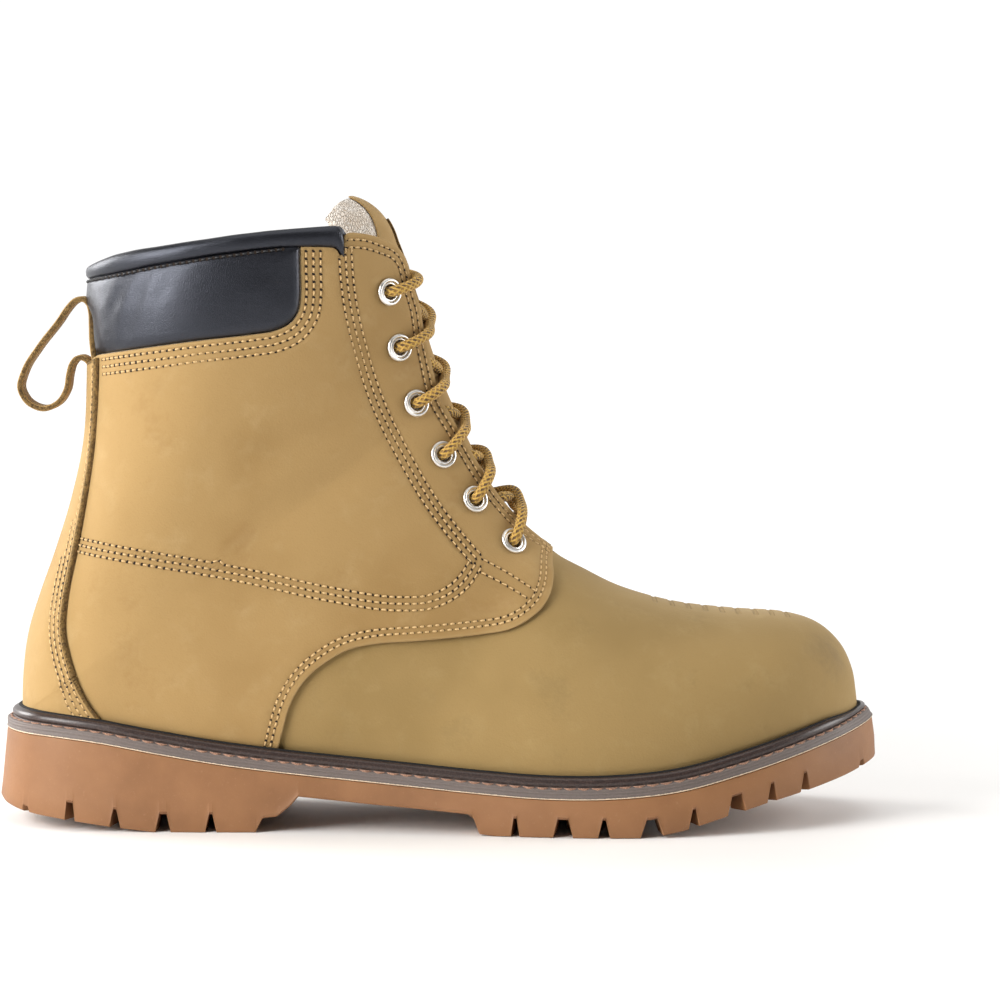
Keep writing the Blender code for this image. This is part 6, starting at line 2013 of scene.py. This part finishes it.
# %% Mould the gum sole
ARCH_ROOF = [(92, 6.3), (94.5, 5.6), (99.5, 6.2), (104, 9.6), (107, 12.9), (131, 10.5), (167.5, 7.6),
             (170, 7), (175, 6.3)]
ARCH_CORNERS = (92, 94.5, 99.5, 104, 107, 167.5, 170)
CENTRE_LUGS = [
    # first x, last x, outer end, inner end
    (31, 38, -13, 13), (48, 55, -18, 17), (66, 73, -19, 18), (82, 89, -19, 18),
    (184, 192, -28, 25), (201, 209, -32, 29), (218, 226, -33, 31),
    (234, 241, -31, 31), (249, 256, -26, 28), (264, 271, -18, 23),
]
LUG_RINGS = [
    # growth, height above the tread
    (-1.2, 0.0), (-0.5, 0.12), (0.0, 0.7), (0.9, LUG_DEPTH + 1.5),
]
EDGE_SOFT = 0.45


def roof(x):
    """Height of the grooves' roof."""
    tread = line(TREAD, x)
    arch = (x > ARCH_ROOF[0][0]) & (x < ARCH_ROOF[-1][0])
    return np.where(arch, np.maximum(line(ARCH_ROOF, x), tread + 0.3), tread + LUG_DEPTH)


def cut_share(x):
    """1 in a groove, 0 on a lug, with slanted walls between."""
    share = np.zeros_like(x)
    for middle, top, floor, deep in GROOVES:
        slant = max((floor - top) / 2, 0.4)
        share = np.maximum(share, deep * np.clip((floor / 2 - np.abs(x - middle)) / slant, 0, 1))
    return share


sole_at = [np.linspace(HEEL_X, TOE_X, 330), [-0.9, -0.7, -0.4, 0.0, 0.6, 1.4, 2.4, 3.6, 5.0],
           [309.5, 311.0, 312.0, 312.8, 313.3, 313.6, 313.85, 313.95]]
for middle, top, floor, _ in GROOVES:
    for edge in (floor / 2, top / 2):
        for shift in (-EDGE_SOFT, -0.15, 0.0, 0.15, EDGE_SOFT):
            sole_at.append([middle - edge + shift, middle + edge + shift])
sole_at += [[x - EDGE_SOFT, x, x + EDGE_SOFT] for x in ARCH_CORNERS]
sole_at = np.unique(np.round(np.clip(np.concatenate(sole_at), HEEL_X, TOE_X), 3))
grooved = cut_share(sole_at)


def wall_at(drop, share=0.0):
    """Height under the gum's upper edge, moved a share of the way to the wall's foot above the grooves."""
    return lambda x: (gum_top(x) - drop) * (1 - share) + (roof(x) + 1.0) * share


def level_at(rise):
    """Tread or groove roof at the stations, raised a little for the rounded lug edges."""
    return lambda x: line(TREAD, x) + rise + np.maximum(roof(x) - line(TREAD, x), 0) * grooved


def lug(first, last, lateral_y, medial_y):
    """Bar across the tread with soft edges, narrower below."""
    rings = []
    for grow, level in LUG_RINGS:
        x = np.array([first - grow, last + grow, last + grow, first - grow])
        y = np.array([lateral_y - grow, lateral_y - grow, medial_y + grow, medial_y + grow])
        rings.append(np.column_stack([x, y, line(TREAD, x) + level]))
    return tube_mesh(rings)


back = at_heel(sole_at)
draft = SOLE_DRAFT + HEEL_DRAFT * back
wall_rows = [(8.0, wall_at(0.0)), (draft + 0.5, wall_at(0.0)), (draft + 0.12, wall_at(0.14))]
wall_rows += [(draft * (1 - 0.75 * share), wall_at(0.6, share)) for share in (0.0, 0.4, 0.75, 1.0)]
tread_rows = [(0.0, level_at(0.75 + 1.6 * back)), (0.18 + 0.6 * back, level_at(0.25 + 0.5 * back)),
              (0.75 + 1.4 * back, level_at(0.0)), (LUG_INWARD, level_at(0.0)), (LUG_INWARD + 1.6, roof)]
sole_loops = [outline_loop(sole_at, *row) for row in wall_rows + tread_rows]
for k in (0, -2, -1):
    meet_ends(sole_loops[k])
points, faces = joined([ring_mesh(sole_loops)] + [lug(*row) for row in CENTRE_LUGS])
wall_count, tread_count = [2 * len(sole_at) * len(rows) for rows in (wall_rows, tread_rows)]
# groove share of the tread rows, which the gum finish turns into painted shade
told = np.zeros(len(points))
told[wall_count:wall_count + tread_count] = np.tile(grooved, 2 * len(tread_rows))
piece("outsole_gum", (points, faces, None, {"groove": told}), [gum], "gum_rubber", "outsole", sharp=35.0)

# %% Lay the welt and its stitches
WELT_PROFILE = [
    # inset, height above the gum
    (9.0, 0.2), (1.2, 0.2), (1.0, 0.35), (1.02, 0.6), (SOLE_DRAFT, 0.8), (SOLE_DRAFT, 2.0), (SOLE_DRAFT, 3.1),
    (1.35, 3.6), (1.85, 3.9), (2.3, 4.05), (2.45, 4.35), (2.2, 4.75), (2, 5.4), (2.05, 6.2), (2.4, 6.95),
    (2.9, 7.45), (3.35, 7.62), (3.5, 7.66), (3.55, 8), (3.75, 8.25), (4.4, 8.25), (4.9, 7.3), (5.1, 6.2),
    (5.2, STRIP_TALL), (9.0, STRIP_TALL),
]
TOE_TURN = (294.0, 312.0)
TOE_LEAN = 0.5
TOE_LOW = 0.55


def heel_swell(x, amount):
    return 1.0 + amount * np.clip((45.0 - x) / 40.0, 0.0, 1.0)


welt_at = [np.linspace(HEEL_X, TOE_X, 300), [-0.9, -0.7, -0.4, 0.1, 0.8, 1.6, 2.8, 4.2, 6.0],
           [310.0, 311.4, 312.4, 313.1, 313.5, 313.8, 313.93]]
welt_at = np.unique(np.concatenate(welt_at))
at_toe = ease(welt_at, *TOE_TURN)
welt_loops = []
for inset, height in WELT_PROFILE:
    moved = inset * (heel_swell(welt_at, 0.5) if inset > 1.9 else 1.0) + HEEL_DRAFT * at_heel(welt_at)
    moved = moved + at_toe * np.clip(height - 0.6, 0.0, 3.5) * TOE_LEAN
    tall = height - np.maximum(height - 4.1, 0.0) * TOE_LOW * at_toe
    welt_loops.append(outline_loop(welt_at, moved, lambda x, h=tall: gum_top(x) + h))
for end in (0, -1):
    meet_ends(welt_loops[end])
told = {"level": np.repeat([height for _, height in WELT_PROFILE], 2 * len(welt_at))}
piece("welt_bead_strip", ring_mesh(welt_loops) + (None, told), [welt], "bead_rubber", "welt", sharp=60.0)

WELT_PITCH = 4.8
WELT_STITCH = 4.0
WELT_STITCH_TALL = 1.25
WELT_STITCH_UP = 4.15
bow = np.sin(np.linspace(0, math.pi, 7))
slim = (0.3 + 0.7 * bow)[:, None, None] * np.array([1.0, 1.0, WELT_STITCH_TALL])
fine_at = np.linspace(0.4, 313.4, 1500)
inset = 1.75 * heel_swell(fine_at, 0.35) + HEEL_DRAFT * at_heel(fine_at)
inset += ease(fine_at, *TOE_TURN) * 3.5 * TOE_LEAN
thread_loop = outline_loop(fine_at, inset, lambda x: gum_top(x) + WELT_STITCH_UP)
stitch_parts = []
for side in BOTH:
    path = thread_loop[side]
    run = run_of(path)
    out = CHAIN[side][1][np.linspace(0, FINE - 1, len(path)).astype(int)]
    out = np.insert(unit(out), 2, 0.0, axis=1)
    for begin in np.arange(1.0, run[-1] - WELT_STITCH, WELT_PITCH):
        at = np.linspace(begin, begin + WELT_STITCH, len(bow))
        way = pick(at, run, path) + pick(at, run, out) * (bow * 0.55 - 0.45)[:, None]
        way[:, 2] -= 0.35 * bow
        stitch_parts.append(tube_mesh(way[:, None] + (tube(way, 0.42, 8) - way[:, None]) * slim))
piece("welt_stitches", joined(stitch_parts), [welt_thread], "bead_rubber")

# %% Lay the insole
INSOLE_INSET = WALL + 0.9
INSOLE_RINGS = [
    # inward, height
    (0, 0.1), (0, 2.3), (0.5, 2.85), (1.4, 3),
]
insole_share = np.concatenate([[0, 0.0004, 0.0015, 0.004, 0.008, 0.015, 0.03, 0.05, 0.08],
                               np.linspace(0.11, 0.9, 40),
                               [0.92, 0.94, 0.955, 0.968, 0.978, 0.986, 0.992, 0.996, 0.9985, 0.9996, 1]])
insole_edge = {}
for side in BOTH:
    foot = FOOT[side][FOOT[side][:, 0] <= HEEL][::-1]
    x, y = (foot[:, 1:3] - INSOLE_INSET * foot[:, 4:6]).T
    insole_edge[side] = (rising(x), y)
low = max(x[0] for x, _ in insole_edge.values())
high = min(x[-1] for x, _ in insole_edge.values())
x = low + (high - low) * insole_share
insole_loops = []
for inward, height in INSOLE_RINGS:
    z = feather_z(x) + height
    loop = {side: np.column_stack([x, np.interp(x, *insole_edge[side]) - side * inward, z]) for side in BOTH}
    insole_loops.append(meet_ends(loop))
piece("insole_felt_board", ring_mesh(insole_loops), [felt], "insole_textile", "insole")

# %% [markdown]
# ## All the stitches
# Now that every row is known, the threads and needle holes of each side become one mesh each.

# %% Sew everything
for group, slot, yarn in (("lateral", "nubuck_wheat", thread), ("medial", "nubuck_wheat", thread),
                          ("back", "nubuck_wheat", thread), ("collar", "black_leather", black_thread)):
    piece("stitches_" + group, stitch_mesh(rows_sewn[group]), [yarn, hole_shade], slot)
